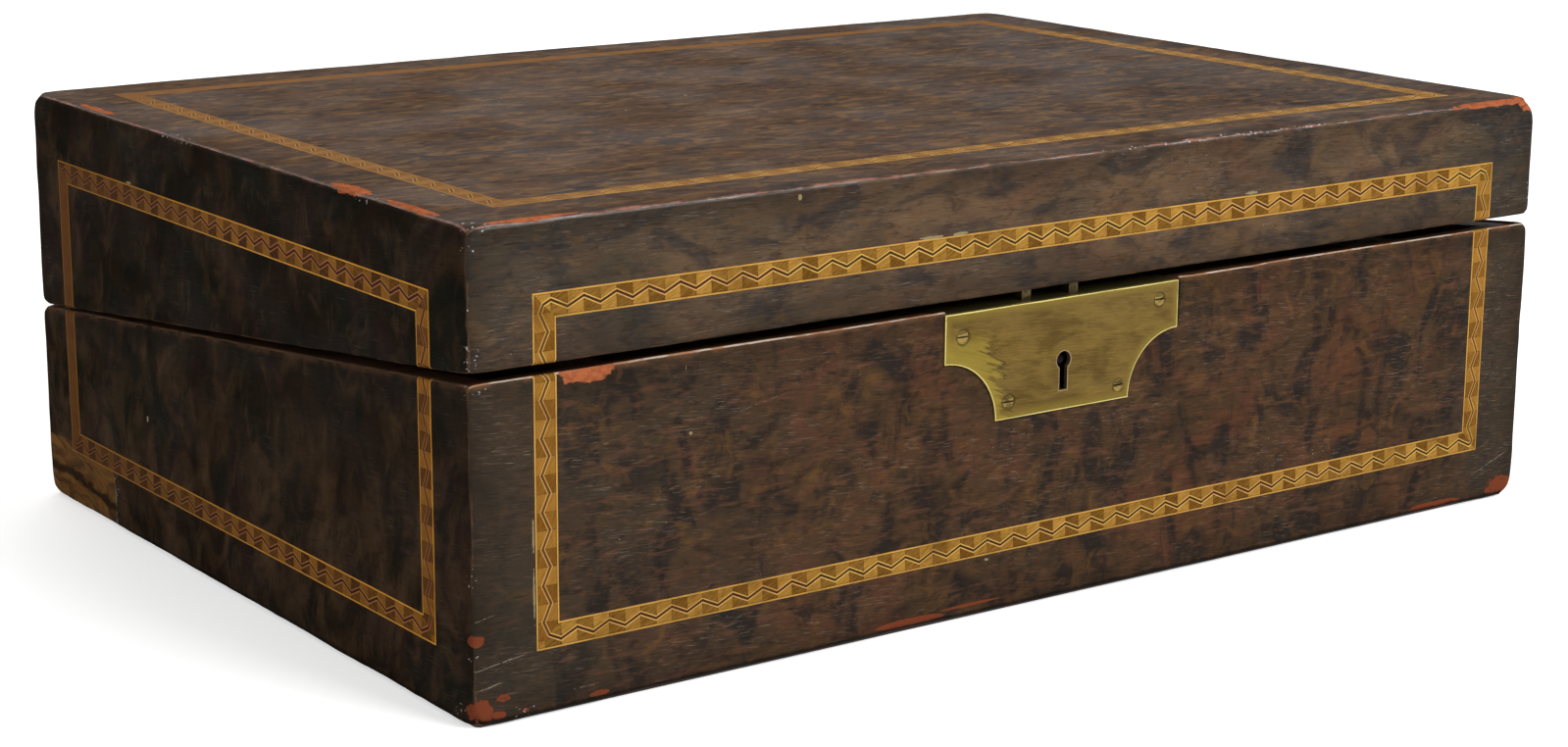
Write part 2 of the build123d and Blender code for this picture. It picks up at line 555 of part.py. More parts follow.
def ink_bay():
    """Export what stands in the bay at the base's high side."""
    inside_x = both(INSIDE_X)
    bay = (-INSIDE_Y, BAY_BACK)
    top = BASE_FRONT
    divider = block(inside_x, (BAY_BACK, DIVIDER_BACK), (PANEL, top))
    export("bay_divider", divider & below(BASE_RIM, -1, RECESS + FLAP))
    export("bay_floor", block(inside_x, bay, (FLOOR_TOP - BAY_FLOOR, FLOOR_TOP)))
    partitions, glasses, collars, caps = [], [], [], []
    partition_space = below(BASE_RIM, -1, PARTITION_SINK)
    for sign in SIDES.values():
        x = side_span(INSIDE_X - WELL_BAY, PARTITION, sign)
        partitions.append(partition_space & block(x, bay, (FLOOR_TOP, top)))
        foot = Pos(sign * (INSIDE_X - WELL_BAY / 2), BAY_Y, FLOOR_TOP)
        glasses.append(foot * inkwell())
        collars.append(foot * Pos(0, 0, INKWELL_HEIGHT) * inkwell_collar())
        caps.append(foot * Pos(0, 0, INKWELL_HEIGHT + COLLAR_HEIGHT) * inkwell_cap())
    export("ink_partitions", *partitions)
    export("inkwell_glasses", *glasses)
    export("inkwell_collars", *collars)
    export("inkwell_caps", *caps)
    export("pen_tray", Pos(0, BAY_Y, FLOOR_TOP) * pen_tray())


# ------------------------------------------------------------------------ turn button
BUTTON = LID_RIM * Pos(0, -FRONT_RAIL_EDGE - BUTTON_INSET, RECESS) * Rot(180, 0, 0)


def turn_button():
    """Export the button, lying along its rail, and its screw. In its frame the rail is z = 0."""
    top = BUTTON_LIFT + BUTTON_THICK
    button = SlotOverall(BUTTON_LENGTH, BUTTON_WIDTH)
    button = Pos(0, 0, BUTTON_LIFT) * extrude(button, BUTTON_THICK)
    button += Pos(0, 0, BUTTON_LIFT / 2) * Cylinder(BUTTON_WIDTH / 2.5, BUTTON_LIFT)
    spot = BUTTON * Pos(0, 0, top)
    size = (BUTTON_WIDTH / 3.5, BUTTON_WIDTH / 6.5, FLAP)
    export("turn_button", BUTTON * button - spot * screw(*size, SCREW_FIT))
    export("turn_button_screw", spot * screw(*size))
    return spot * screw(*size, SCREW_FIT)


# ------------------------------------------------------------------------ the whole slope
def main():
    """Export every node."""
    os.makedirs("parts", exist_ok=True)
    interior = block(both(INSIDE_X), both(INSIDE_Y), (PANEL, CEILING))
    boards_x, boards_y = both(SKIN_X), both(SKIN_Y)

    export("base_bottom_board", BASE_FORM & block(boards_x, boards_y, (0, PANEL)))
    export("lid_top_board", LID_FORM & block(boards_x, boards_y, (CEILING, HEIGHT - VENEER)))
    top_veneer = LID_FORM & block(both(HALF_X), both(HALF_Y), (HEIGHT - VENEER, HEIGHT))
    export("lid_top_veneer", *cut(top_veneer, TOP_BANDS).solids())
    export("lid_top_banding", *TOP_BANDS)
    base_front_cuts = LOCK_CUTS + PLATE_SCREW_HOLES
    carcase("base", BASE_FORM, (PANEL, HEIGHT), (VENEER_FOOT, HEIGHT), base_front_cuts, BASE_CUTS)
    carcase("lid", LID_FORM, (0, CEILING), (0, HEIGHT - VENEER), LINK_CUTS, LID_CUTS)
    band_nodes("base", BASE_FORM, (FOOT, RIGHT, LEFT))
    band_nodes("lid", LID_FORM, (HEAD, RIGHT, LEFT))

    export("lock_plate", cut(lock_plate, PLATE_SCREW_HOLES))
    export("lock_plate_screws", *PLATE_SCREWS)
    export("lock_case", lock_case)
    export("lock_key_post", key_post)
    export("lock_spring", lock_spring)
    export("lock_bolt", lock_bolt)
    export("link_plate", link_plate)
    export("link_plate_screws", *LINK_SCREWS)
    export("main_hinge_base_leaves", *BASE_LEAVES)
    export("main_hinge_base_screws", *BASE_SCREWS)
    export("main_hinge_lid_leaves", *LID_LEAVES)
    export("main_hinge_lid_screws", *LID_SCREWS)
    export("main_hinge_pins", *HINGE_PINS)

    ink_bay()
    well = interior & block(both(INSIDE_X), (DIVIDER_BACK, INSIDE_Y), (0, HEIGHT))
    writing_flap("base", BASE_RIM, -1, well, BASE_FLAP_END)
    writing_flap("lid", LID_RIM, 1, interior, LID_FLAP_END)
    front_rail = interior & LID_RIM * block(both(INSIDE_X), (-REACH, -FRONT_RAIL_EDGE),
                                            depths(1, RECESS, RECESS + FLAP))
    export("lid_front_rail", front_rail - turn_button())


main()
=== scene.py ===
"""Looks of an old writing slope: stained veneer, parquetry banding, brass, leather and glass.

Shapes are worked out in millimetres in the CAD model's frame and written to meshes in metres.
"""

import json
import logging
import math
from dataclasses import dataclass, field
from enum import Enum
from functools import partial, reduce
from typing import Any, Callable, Optional, Sequence, Union

import bmesh
import bpy
import numpy as np
from mathutils import Matrix, Vector

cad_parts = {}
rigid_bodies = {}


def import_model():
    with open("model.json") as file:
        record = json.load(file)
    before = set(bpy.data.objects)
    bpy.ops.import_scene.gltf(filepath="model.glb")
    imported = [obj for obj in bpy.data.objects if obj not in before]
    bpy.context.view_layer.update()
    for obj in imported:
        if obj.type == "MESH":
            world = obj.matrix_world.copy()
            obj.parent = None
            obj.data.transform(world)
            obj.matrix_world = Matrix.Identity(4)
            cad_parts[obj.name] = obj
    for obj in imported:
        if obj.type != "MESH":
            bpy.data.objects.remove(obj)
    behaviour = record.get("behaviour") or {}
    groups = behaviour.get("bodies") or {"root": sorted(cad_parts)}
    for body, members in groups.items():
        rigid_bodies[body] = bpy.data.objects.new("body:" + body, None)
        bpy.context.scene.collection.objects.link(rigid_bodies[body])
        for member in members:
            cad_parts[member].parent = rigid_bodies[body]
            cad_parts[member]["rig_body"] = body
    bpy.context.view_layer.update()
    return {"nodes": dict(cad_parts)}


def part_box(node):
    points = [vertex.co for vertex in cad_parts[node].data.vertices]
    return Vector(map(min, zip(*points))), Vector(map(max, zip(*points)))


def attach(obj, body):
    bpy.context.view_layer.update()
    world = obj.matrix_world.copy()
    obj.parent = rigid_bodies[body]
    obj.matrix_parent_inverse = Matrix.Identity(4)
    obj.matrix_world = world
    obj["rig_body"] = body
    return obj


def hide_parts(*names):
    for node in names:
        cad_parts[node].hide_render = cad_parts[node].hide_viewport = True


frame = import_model()
LOG = logging.getLogger("writing_slope")

Colour = tuple[float, float, float]
Point = tuple[float, float, float]

# ------------------------------------------------------------------------ sizes, in millimetres
MM = 0.001              # a millimetre in metres
HALF_WIDTH = round(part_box("base_side_veneers")[1].x / MM, 2)
HALF_DEPTH = round(-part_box("base_front_veneer")[0].y / MM, 2)
TOP = round(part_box("lid_top_veneer")[1].z / MM, 2)
FOOT = round(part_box("base_front_veneer")[0].z / MM, 2)
VENEER = 1.0            # thickness of the veneer
VENEER_BACK = 0.98      # depth of its glued side
BASE_RIM = (93.0, 63.5)     # height of the rim at the front and at the back
LID_RIM = (95.5, 64.0)      # the gap between the rims is widest in front
BAND = 7.0              # width of the banding
FACE_MARGIN = 19.5      # from an upright face's ends and the lid's top to the banding
BASE_MARGIN = 18.1      # from the veneer's foot to the banding
TOP_MARGIN = 20.0       # from the edges of the top to its banding
GROOVE = 0.30           # depth of the groove that shows round the banding
GROOVE_WALL = 0.06      # width of the groove's sloping wall
BAND_BACK = 0.28        # depth of the banding's glued side
BAND_PROUD = 0.03       # the banding stands this far above the veneer
PATTERN = 10.0          # the banding's pattern repeats after this length
FLAP_RECESS = 1.6       # the flaps lie this far below the rims
LOCK_X = -1.0           # middle of the lock plate
LOCK_SCREWS = ((-39.2, 85.0), (36.1, 86.9), (-21.8, 63.6), (20.6, 62.8))    # in x and z
COARSE = 3.0            # spacing of a grid's lines on open surfaces
BAND_ROWS = 1.8         # and across the banding
TINY = 1e-9             # keeps a division from failing
WELD = 2e-6             # closer points of a CAD mesh are joined; in metres
FLAT_TURN = 0.5         # edges that turn by less are dissolved; in degrees
BAND_EASE = 0.02        # depth of the banding's eased edges
PLATE_FACE = -140.6     # y of the lock plate's face
HEAD_REACH = 2.6        # from a screw head's middle to its soiled surroundings' edge
WHITE = (1.0, 1.0, 1.0)     # colour of the room's light and of the floor's glow
# Distances of a grid's lines from a worn edge, and those across a strip of banding.
EDGE_ROWS = np.array([0.0, 0.25, 0.5, 0.8, 1.15, 1.55, 2.0, 2.6, 3.4, 4.5, 6.0, 8.0])
STRIP_ROWS = np.array([0.0, 0.12, 1.2, 2.4, 3.5, 4.6, 5.8, BAND - 0.12, BAND])


# ------------------------------------------------------------------------ shader maths
def operator(operation: str, swapped: bool = False) -> Callable[..., "Value"]:
    """Makes a method of Value that adds a Math node.

    Args:
        operation: the Math node's operation.
        swapped: whether the other number comes first.

    Returns:
        The method.
    """
    def method(self: "Value", *others: "Number") -> "Value":
        """The operation on this value and any other numbers."""
        values = (*others, self) if swapped else (self, *others)
        return self.tree.maths(operation, *values)
    return method


class Value:
    """A number that varies over a surface: a shader socket that Python's operators work on."""

    __add__ = operator("ADD")
    __radd__ = operator("ADD", swapped=True)
    __sub__ = operator("SUBTRACT")
    __rsub__ = operator("SUBTRACT", swapped=True)
    __mul__ = operator("MULTIPLY")
    __rmul__ = operator("MULTIPLY", swapped=True)
    __truediv__ = operator("DIVIDE")
    __rtruediv__ = operator("DIVIDE", swapped=True)
    __abs__ = operator("ABSOLUTE")
    __gt__ = operator("GREATER_THAN")
    __lt__ = operator("LESS_THAN")
    fraction = operator("FRACT")        # what is left above the whole number below
    floor = operator("FLOOR")
    least = operator("MINIMUM")
    most = operator("MAXIMUM")

    def __init__(self, tree: "Tree", socket: bpy.types.NodeSocket) -> None:
        """Keeps the socket and the tree that it belongs to."""
        self.tree = tree
        self.socket = socket

    def rise(self, low: float, high: float) -> "Value":
        """0 below low, 1 above high and a smooth step between; low may be the greater."""
        inputs = {"Value": self, "From Min": low, "From Max": high}
        return self.tree.value("ShaderNodeMapRange", {"interpolation_type": "SMOOTHSTEP"}, inputs)


Number = Union[Value, float]


class Tree:
    """The shader nodes of a new material, or of a world."""

    def __init__(self, name: str, world: Optional[bpy.types.World] = None) -> None:
        """Starts with no nodes.

        Args:
            name: the new material's name.
            world: whose nodes are wanted in place of a material's, if any.
        """
        self.owner = bpy.data.materials.new(name) if world is None else world
        self.owner.use_nodes = True
        self.nodes = self.owner.node_tree.nodes
        self.links = self.owner.node_tree.links
        self.nodes.clear()
        self._place: Optional[bpy.types.NodeSocket] = None

    def node(self, kind: str, settings: Optional[dict] = None,
             inputs: Optional[dict] = None) -> bpy.types.Node:
        """Adds a node.

        Args:
            kind: the node's type.
            settings: its properties, set before its sockets.
            inputs: a number, a colour or a link for each named or numbered socket.

        Returns:
            The node.
        """
        made = self.nodes.new(kind)
        for key, setting in (settings or {}).items():
            setattr(made, key, setting)
        for key, given in (inputs or {}).items():
            socket = made.inputs[key]
            if isinstance(given, Value):
                self.links.new(given.socket, socket)
            elif isinstance(given, bpy.types.NodeSocket):
                self.links.new(given, socket)
            elif isinstance(given, tuple) and socket.type == "RGBA":
                socket.default_value = (*given[:3], 1.0)
            else:
                socket.default_value = given
        return made

    def value(self, kind: str, settings: dict, inputs: dict, output: Union[int, str] = 0) -> Value:
        """Adds a node and returns one of its outputs as a Value."""
        return Value(self, self.node(kind, settings, inputs).outputs[output])

    def maths(self, operation: str, *values: Number) -> Value:
        """Adds a Math node for an operation on values."""
        return self.value("ShaderNodeMath", {"operation": operation}, dict(enumerate(values)))

    def place(self) -> bpy.types.NodeSocket:
        """The point on the surface in the CAD model's frame, in millimetres.

        Returns:
            The vector, from a node that is made once.
        """
        if self._place is None:
            here = self.node("ShaderNodeTexCoord").outputs["Object"]
            inputs = {0: here, "Scale": 1.0 / MM}
            self._place = self.node("ShaderNodeVectorMath", {"operation": "SCALE"}, inputs).outputs[0]
        return self._place

    def attribute(self, name: str) -> bpy.types.NodeSocket:
        """A vector attribute of the piece."""
        return self.node("ShaderNodeAttribute", {"attribute_name": name}).outputs["Vector"]

    def parts(self, vector: Optional[bpy.types.NodeSocket] = None) -> tuple[Value, Value, Value]:
        """The three numbers of a vector, which is the surface point if left out."""
        outputs = self.node("ShaderNodeSeparateXYZ", None, {0: vector or self.place()}).outputs
        return Value(self, outputs[0]), Value(self, outputs[1]), Value(self, outputs[2])

    def joined(self, x: Number, y: Number, z: Number) -> bpy.types.NodeSocket:
        """A vector of three numbers."""
        return self.node("ShaderNodeCombineXYZ", None, {0: x, 1: y, 2: z}).outputs[0]

    def noise(self, size: Point, detail: float = 2.0, warp: float = 0.0, seed: float = 0.0,
              at: Optional[bpy.types.NodeSocket] = None, roughness: float = 0.5) -> Value:
        """Cloudy noise from 0 to 1.

        Args:
            size: how many millimetres a cloud measures along x, y and z.
            detail: how many finer layers are added.
            warp: how far the clouds are twisted.
            seed: a shift that gives another pattern.
            at: the place to read it at, which is the surface point if left out.
            roughness: the weight of the finer layers.

        Returns:
            The noise.
        """
        scaled = self.scaled(at or self.place(), size, (seed, seed * 1.7, -seed))
        inputs = {"Vector": scaled, "Scale": 1.0, "Detail": detail, "Roughness": roughness,
                  "Distortion": warp}
        return self.value("ShaderNodeTexNoise", {}, inputs)

    def scaled(self, at: bpy.types.NodeSocket, size: Point, shift: Point) -> bpy.types.NodeSocket:
        """A vector divided by a size along each axis, and then shifted."""
        inputs = {0: at, 1: tuple(1.0 / s for s in size), 2: shift}
        return self.node("ShaderNodeVectorMath", {"operation": "MULTIPLY_ADD"}, inputs).outputs[0]

    def turned(self, degrees: Point) -> bpy.types.NodeSocket:
        """The surface point turned about the origin, for streaks that lie at a slant."""
        inputs = {"Vector": self.place(), "Rotation": tuple(math.radians(a) for a in degrees)}
        return self.node("ShaderNodeVectorRotate", {"rotation_type": "EULER_XYZ"}, inputs).outputs[0]

    def chance(self, at: bpy.types.NodeSocket) -> Value:
        """An even random number from 0 to 1 for each different vector."""
        return self.value("ShaderNodeTexWhiteNoise", {"noise_dimensions": "3D"}, {"Vector": at})

    def mix(self, share: Number, first: Any, second: Any) -> bpy.types.NodeSocket:
        """Two colours mixed by a share of the second."""
        return self.node("ShaderNodeMix", {"data_type": "RGBA"}, {0: share, 6: first, 7: second}).outputs[2]

    def bump(self, height: Number, distance: float, strength: float) -> bpy.types.NodeSocket:
        """A normal from a height; distance is what a height of 1 stands out, in millimetres."""
        inputs = {"Height": height, "Distance": distance * MM, "Strength": strength}
        return self.node("ShaderNodeBump", None, inputs).outputs[0]

    def finish(self, **sockets: Any) -> bpy.types.Material:
        """Ends the tree in a Principled surface.

        Args:
            sockets: what goes to each of its sockets, with _ for a space in the name.

        Returns:
            The material.
        """
        inputs = {key.replace("_", " "): given for key, given in sockets.items()}
        surface = self.node("ShaderNodeBsdfPrincipled", None, inputs)
        self.node("ShaderNodeOutputMaterial", None, {"Surface": surface.outputs[0]})
        return self.owner


# ------------------------------------------------------------------------ meshes
@dataclass
class Shape:
    """A mesh in millimetres: points, faces and the attributes that its finish reads."""

    points: np.ndarray
    faces: np.ndarray
    attributes: dict[str, np.ndarray] = field(default_factory=dict)

    def __add__(self, other: "Shape") -> "Shape":
        """Both shapes as one.

        Args:
            other: a shape with the same attributes.

        Returns:
            The joined shape.
        """
        joined = {k: np.concatenate([v, other.attributes[k]]) for k, v in self.attributes.items()}
        faces = np.concatenate([self.faces, other.faces + len(self.points)])
        return Shape(np.concatenate([self.points, other.points]), faces, joined)

    def piece(self, name: str, sharp: float = 50.0) -> bpy.types.Object:
        """Writes the shape to a new object at the origin.

        Args:
            name: the object's name.
            sharp: faces that meet at more than this many degrees keep a sharp edge.

        Returns:
            The object.
        """
        mesh = bpy.data.meshes.new(name)
        mesh.from_pydata((self.points * MM).tolist(), [], self.faces.tolist())
        for key, values in self.attributes.items():
            layer = mesh.attributes.new(key, "FLOAT_VECTOR", "POINT")
            layer.data.foreach_set("vector", values.astype(np.float32).ravel())
        mesh.polygons.foreach_set("use_smooth", np.ones(len(self.faces), bool))
        mesh.set_sharp_from_angle(angle=math.radians(sharp))
        mesh.update()
        made = bpy.data.objects.new(name, mesh)
        bpy.context.scene.collection.objects.link(made)
        return made


def slab(outer: np.ndarray, inner: np.ndarray, keep: Optional[np.ndarray] = None,
         **values: np.ndarray) -> Shape:
    """A closed sheet between two grids of points.

    Each cell of the grid gives an outer face and a reversed inner face, and every side of a kept
    cell that no kept cell shares gets a wall. The faces are turned to point from inner to outer.

    Args:
        outer: points of the outer side, rows by columns by 3.
        inner: points of the inner side.
        keep: which cells are kept; all if left out.
        values: attributes, rows by columns by 3.

    Returns:
        The shape, with no unused points.
    """
    turn = np.cross(outer[1:, :-1] - outer[:-1, :-1], outer[:-1, 1:] - outer[:-1, :-1])
    if np.sum(turn * (outer - inner)[:-1, :-1]) < 0:
        outer, inner = outer[::-1], inner[::-1]
        keep = None if keep is None else keep[::-1]
        values = {k: v[::-1] for k, v in values.items()}
    rows, columns = outer.shape[:2]
    kept = np.ones((rows - 1, columns - 1), bool) if keep is None else keep
    index = np.arange(rows * columns).reshape(rows, columns)
    far = rows * columns
    corners = [index[:-1, :-1], index[1:, :-1], index[1:, 1:], index[:-1, 1:]]
    a, b, c, d = (corner[kept] for corner in corners)
    faces = [np.stack([a, b, c, d], -1), np.stack([a, d, c, b], -1) + far]
    edged = np.pad(kept, 1)
    low, high = edged[:-1, 1:-1], edged[1:, 1:-1]
    p, q = index[:, :-1], index[:, 1:]
    faces += [walls(p[high & ~low], q[high & ~low], far), walls(q[low & ~high], p[low & ~high], far)]
    low, high = edged[1:-1, :-1], edged[1:-1, 1:]
    p, q = index[:-1], index[1:]
    faces += [walls(q[high & ~low], p[high & ~low], far), walls(p[low & ~high], q[low & ~high], far)]
    found = np.concatenate(faces)
    used, renamed = np.unique(found, return_inverse=True)
    points = np.concatenate([outer.reshape(-1, 3), inner.reshape(-1, 3)])[used]
    layers = {k: np.concatenate([v.reshape(-1, 3)] * 2)[used] for k, v in values.items()}
    return Shape(points, renamed.reshape(-1, 4), layers)


def walls(first: np.ndarray, second: np.ndarray, far: int) -> np.ndarray:
    """Faces from outer edges down to the inner points, which come far places later."""
    return np.stack([first, second, second + far, first + far], -1)


def between(start: float, end: float, spacing: float = COARSE) -> np.ndarray:
    """Even steps from start to end, without either, no wider than a spacing."""
    count = max(1, math.ceil(abs(end - start) / spacing))
    return np.linspace(start, end, count + 1)[1:-1]


def grid_lines(end: float, margin: float) -> np.ndarray:
    """Places of a grid's lines across a face, fine at its ends and at the edges of its banding.

    Args:
        end: half the face's size.
        margin: from the face's end to the banding.

    Returns:
        The places, from -end to end.
    """
    outer, inner = end - margin, end - margin - BAND
    band = [outer, outer - GROOVE_WALL, *between(outer, inner, BAND_ROWS), inner + GROOVE_WALL, inner]
    half = [*(end - EDGE_ROWS), *between(end - EDGE_ROWS[-1], outer), *band, *between(inner, 0.0), 0.0]
    right = np.array(half)[::-1]
    return np.concatenate([-right[:0:-1], right])


def smooth(share: np.ndarray) -> np.ndarray:
    """A smooth step: 0 at 0 and 1 at 1, level at both."""
    held = np.clip(share, 0.0, 1.0)
    return held * held * (3.0 - 2.0 * held)


@dataclass(frozen=True)
class Ripple:
    """Smooth unevenness in space: the mean of several plane waves in fixed random directions."""

    length: float
    height: float
    seed: int
    waves: int = 7

    def at(self, points: np.ndarray) -> np.ndarray:
        """Its height at each point, which is a mean of sines of the point along each direction.

        Args:
            points: where to read it.

        Returns:
            The heights.
        """
        chance = np.random.default_rng(self.seed)
        ways = chance.normal(size=(self.waves, 3)) * math.tau / self.length / math.sqrt(3)
        shifts = chance.uniform(0, math.tau, self.waves)
        return self.height * np.sin(points @ ways.T + shifts).sum(-1) / math.sqrt(self.waves)


# ------------------------------------------------------------------------ the two halves of the box
class Side(Enum):
    """An upright face: the axis that it faces along, and which way."""

    FRONT = (1, -1)
    BACK = (1, 1)
    LEFT = (0, -1)
    RIGHT = (0, 1)

    @property
    def across_box(self) -> bool:
        """Whether the face runs along x."""
        return self.value[0] == 1

    @property
    def half_length(self) -> float:
        """Half the face's length."""
        return HALF_WIDTH if self.across_box else HALF_DEPTH

    def depth(self, along: np.ndarray) -> np.ndarray:
        """y at places along the sharp face."""
        return np.full(along.shape, self.value[1] * HALF_DEPTH) if self.across_box else along


@dataclass(frozen=True)
class Rub:
    """A place where hands and knocks have rounded an edge further."""

    place: Point
    reach: Point
    extra: float

    def at(self, points: np.ndarray) -> np.ndarray:
        """The extra radius at each point: a bell that falls off over the reach along each axis."""
        away = (points - np.array(self.place)) / np.array(self.reach)
        return self.extra * np.exp(-(away ** 2).sum(-1))


@dataclass(frozen=True)
class Half:
    """One half of the box: a sharp-edged body between a flat end and a sloping rim, worn round."""

    name: str
    flat: float
    rims: tuple[float, float]
    upward: int             # 1 where the rim is above the flat end, -1 where it is below
    margin: float           # from the flat end to the banding
    rubs: tuple[Rub, ...]
    edge_radius: float = 2.0
    rim_radius: float = 1.3
    rim_blend: float = 7.0
    least_radius: float = 1.05
    uneven: Ripple = Ripple(34.0, 0.28, 11)
    nibbled: Ripple = Ripple(7.0, 0.10, 12)
    sag: Ripple = Ripple(120.0, 0.10, 13)
    dents: Ripple = Ripple(16.0, 0.025, 14)
    sunk: float = 0.12      # mean depth of the sag and the dents

    def rim(self, y: np.ndarray) -> np.ndarray:
        """Height of the rim's plane at a depth, straight from the front rim to the back one."""
        front, back = self.rims
        return back + (HALF_DEPTH - y) * (front - back) / (2 * HALF_DEPTH)

    def levels(self, y: np.ndarray) -> tuple[Any, Any]:
        """The half's lowest and highest level at a depth."""
        return (self.flat, self.rim(y)) if self.upward > 0 else (self.rim(y), self.flat)

    def radius(self, points: np.ndarray) -> np.ndarray:
        """How far wear has rounded the edges near each point.

        Args:
            points: points on or near the half's surface.

        Returns:
            The radii.
        """
        to_rim = np.abs(points[..., 2] - self.rim(points[..., 1]))
        near_rim = 1.0 - smooth(to_rim / self.rim_blend)
        found = self.edge_radius + (self.rim_radius - self.edge_radius) * near_rim
        found = found + self.uneven.at(points) * (1.0 - 0.5 * near_rim) + self.nibbled.at(points)
        for rub in self.rubs:
            found = found + rub.at(points)
        return np.maximum(found, self.least_radius)

    def reach(self, points: np.ndarray, radius: np.ndarray) -> np.ndarray:
        """How far each point lies beyond the core, the body shrunk by the radius, along x, y and z.

        Args:
            points: points on the sharp surface.
            radius: the radius near each.

        Returns:
            The distances.
        """
        x, y, z = np.moveaxis(points, -1, 0)
        low, high = self.levels(y)
        out = [np.sign(x) * np.maximum(0, np.abs(x) - HALF_WIDTH + radius),
               np.sign(y) * np.maximum(0, np.abs(y) - HALF_DEPTH + radius),
               np.maximum(0, z - high + radius) - np.maximum(0, low + radius - z)]
        return np.stack(out, -1)

    def worn(self, points: np.ndarray, depth: Union[float, np.ndarray] = 0.0) -> np.ndarray:
        """Moves points of the sharp surface to the worn one.

        A point beyond the core is drawn towards it until it is one radius less the depth away, so
        that flat faces stay, edges become rounds and corners become parts of a ball.

        Args:
            points: points on the sharp surface.
            depth: how far below the worn surface they end, before its own unevenness.

        Returns:
            The moved points.
        """
        radius = self.radius(points)
        over = self.reach(points, radius)
        length = np.linalg.norm(over, axis=-1)
        sunk = np.maximum(self.sag.at(points) + self.dents.at(points) + self.sunk, 0.0)
        return points - over * (1.0 - (radius - depth - sunk) / length)[..., None]

    def tucked(self, points: np.ndarray) -> np.ndarray:
        """Draws in only the points that would stand out of the veneer's glued side.

        As worn, but with the veneer's depth, and points already within it stay where they are.

        Args:
            points: points of a board.

        Returns:
            The moved points.
        """
        radius = self.radius(points)
        over = self.reach(points, radius)
        length = np.linalg.norm(over, axis=-1)
        allowed = radius - VENEER_BACK
        share = np.where(length > allowed, 1.0 - allowed / np.maximum(length, TINY), 0.0)
        return points - over * share[..., None]

    def drawn_in(self, points: np.ndarray) -> np.ndarray:
        """As tucked, but every point keeps its height."""
        moved = self.tucked(points)
        return np.stack([moved[..., 0], moved[..., 1], points[..., 2]], -1)

    def sharp(self, side: Side, along: np.ndarray, level: np.ndarray) -> np.ndarray:
        """Points of the sharp body on an upright face.

        Args:
            side: the face.
            along: x on the front and back, y at the ends.
            level: height; beyond the face's edge it carries on inwards over the rim or foot.

        Returns:
            The points.
        """
        axis, sign = side.value
        depth = side.depth(along + 0 * level)
        over = self.upward * (level - self.rim(depth))
        under = self.upward * (self.flat - level)
        inset = np.clip(np.maximum(over, under), 0.0, VENEER)
        if axis:
            x, y = along + 0 * level, sign * (HALF_DEPTH - inset)
        else:
            x, y = sign * (HALF_WIDTH - inset), depth
        low, high = self.levels(y)
        return np.stack([x, y, np.clip(level, low, high)], -1)

    def rows(self, depth: np.ndarray) -> np.ndarray:
        """Heights of a grid's rows at each depth.

        Rows keep their distance from the flat end up past the banding and from the rim down to a
        few millimetres, and those between are spread evenly over what is left.

        Args:
            depth: y of each column.

        Returns:
            Rows by columns.
        """
        start, end = self.margin, self.margin + BAND
        band = [start, start + GROOVE_WALL, *between(start, end, BAND_ROWS), end - GROOVE_WALL, end]
        lead = [-VENEER, -VENEER / 2] if self.upward > 0 else []
        fixed = np.array([*lead, *EDGE_ROWS, *between(EDGE_ROWS[-1], start), *band])
        near = np.array([*EDGE_ROWS[::-1], -VENEER / 2, -VENEER])
        total = np.abs(self.rim(depth) - self.flat)[None, :]
        count = math.ceil((total.max() - end - EDGE_ROWS[-1]) / COARSE)
        share = (np.arange(1, count) / count)[:, None]
        middle = end + share * (total - EDGE_ROWS[-1] - end)
        distance = np.concatenate([fixed[:, None] + 0 * total, middle, total - near[:, None]])
        return self.flat + self.upward * distance


def corner_rubs(height: float, reach: float, extra: Sequence[float]) -> tuple[Rub, ...]:
    """Rubbed corners at one height, in the order front left, front right, back left, back right."""
    places = [(x * HALF_WIDTH, y * HALF_DEPTH, height) for y in (-1, 1) for x in (-1, 1)]
    return tuple(Rub(place, (reach,) * 3, more) for place, more in zip(places, extra))


BASE = Half("base", FOOT, BASE_RIM, 1, BASE_MARGIN, (
    *corner_rubs(FOOT, 4.0, (3.4, 4.6, 3.0, 3.6)),
    *(Rub((x * HALF_WIDTH, -HALF_DEPTH, BASE_RIM[0]), (3.0,) * 3, 1.6) for x in (-1, 1)),
    *(Rub((x * HALF_WIDTH, HALF_DEPTH, BASE_RIM[1]), (3.0,) * 3, 1.9) for x in (-1, 1)),
    Rub((64, -HALF_DEPTH, 93), (17, 9, 9), 1.3), Rub((52, -HALF_DEPTH, 93), (5, 9, 9), 0.8),
    Rub((76, -HALF_DEPTH, 93), (4, 9, 9), 0.9), Rub((-80, -HALF_DEPTH, 93), (30, 9, 9), 0.5),
    Rub((-165, -HALF_DEPTH, 93), (10, 9, 9), 0.6), Rub((192, -HALF_DEPTH, 93), (8, 6, 6), 0.9),
    Rub((-57, -HALF_DEPTH, FOOT), (17, 5, 5), 0.8), Rub((162, -HALF_DEPTH, FOOT), (14, 5, 5), 0.9),
))
LID = Half("lid", TOP, LID_RIM, -1, FACE_MARGIN, (
    *corner_rubs(TOP, 4.2, (3.6, 4.6, 4.4, 4.4)),
    *(Rub((x * HALF_WIDTH, -HALF_DEPTH, LID_RIM[0]), (3.0,) * 3, 1.2) for x in (-1, 1)),
    *(Rub((x * HALF_WIDTH, HALF_DEPTH, LID_RIM[1]), (3.4,) * 3, 2.2) for x in (-1, 1)),
    Rub((-197, -75, TOP), (5, 9, 5), 0.8), Rub((-197, -110, TOP), (5, 12, 5), 0.6),
    Rub((-184, -HALF_DEPTH, TOP), (10, 5, 5), 0.7), Rub((178, -HALF_DEPTH, TOP), (16, 5, 5), 0.6),
))


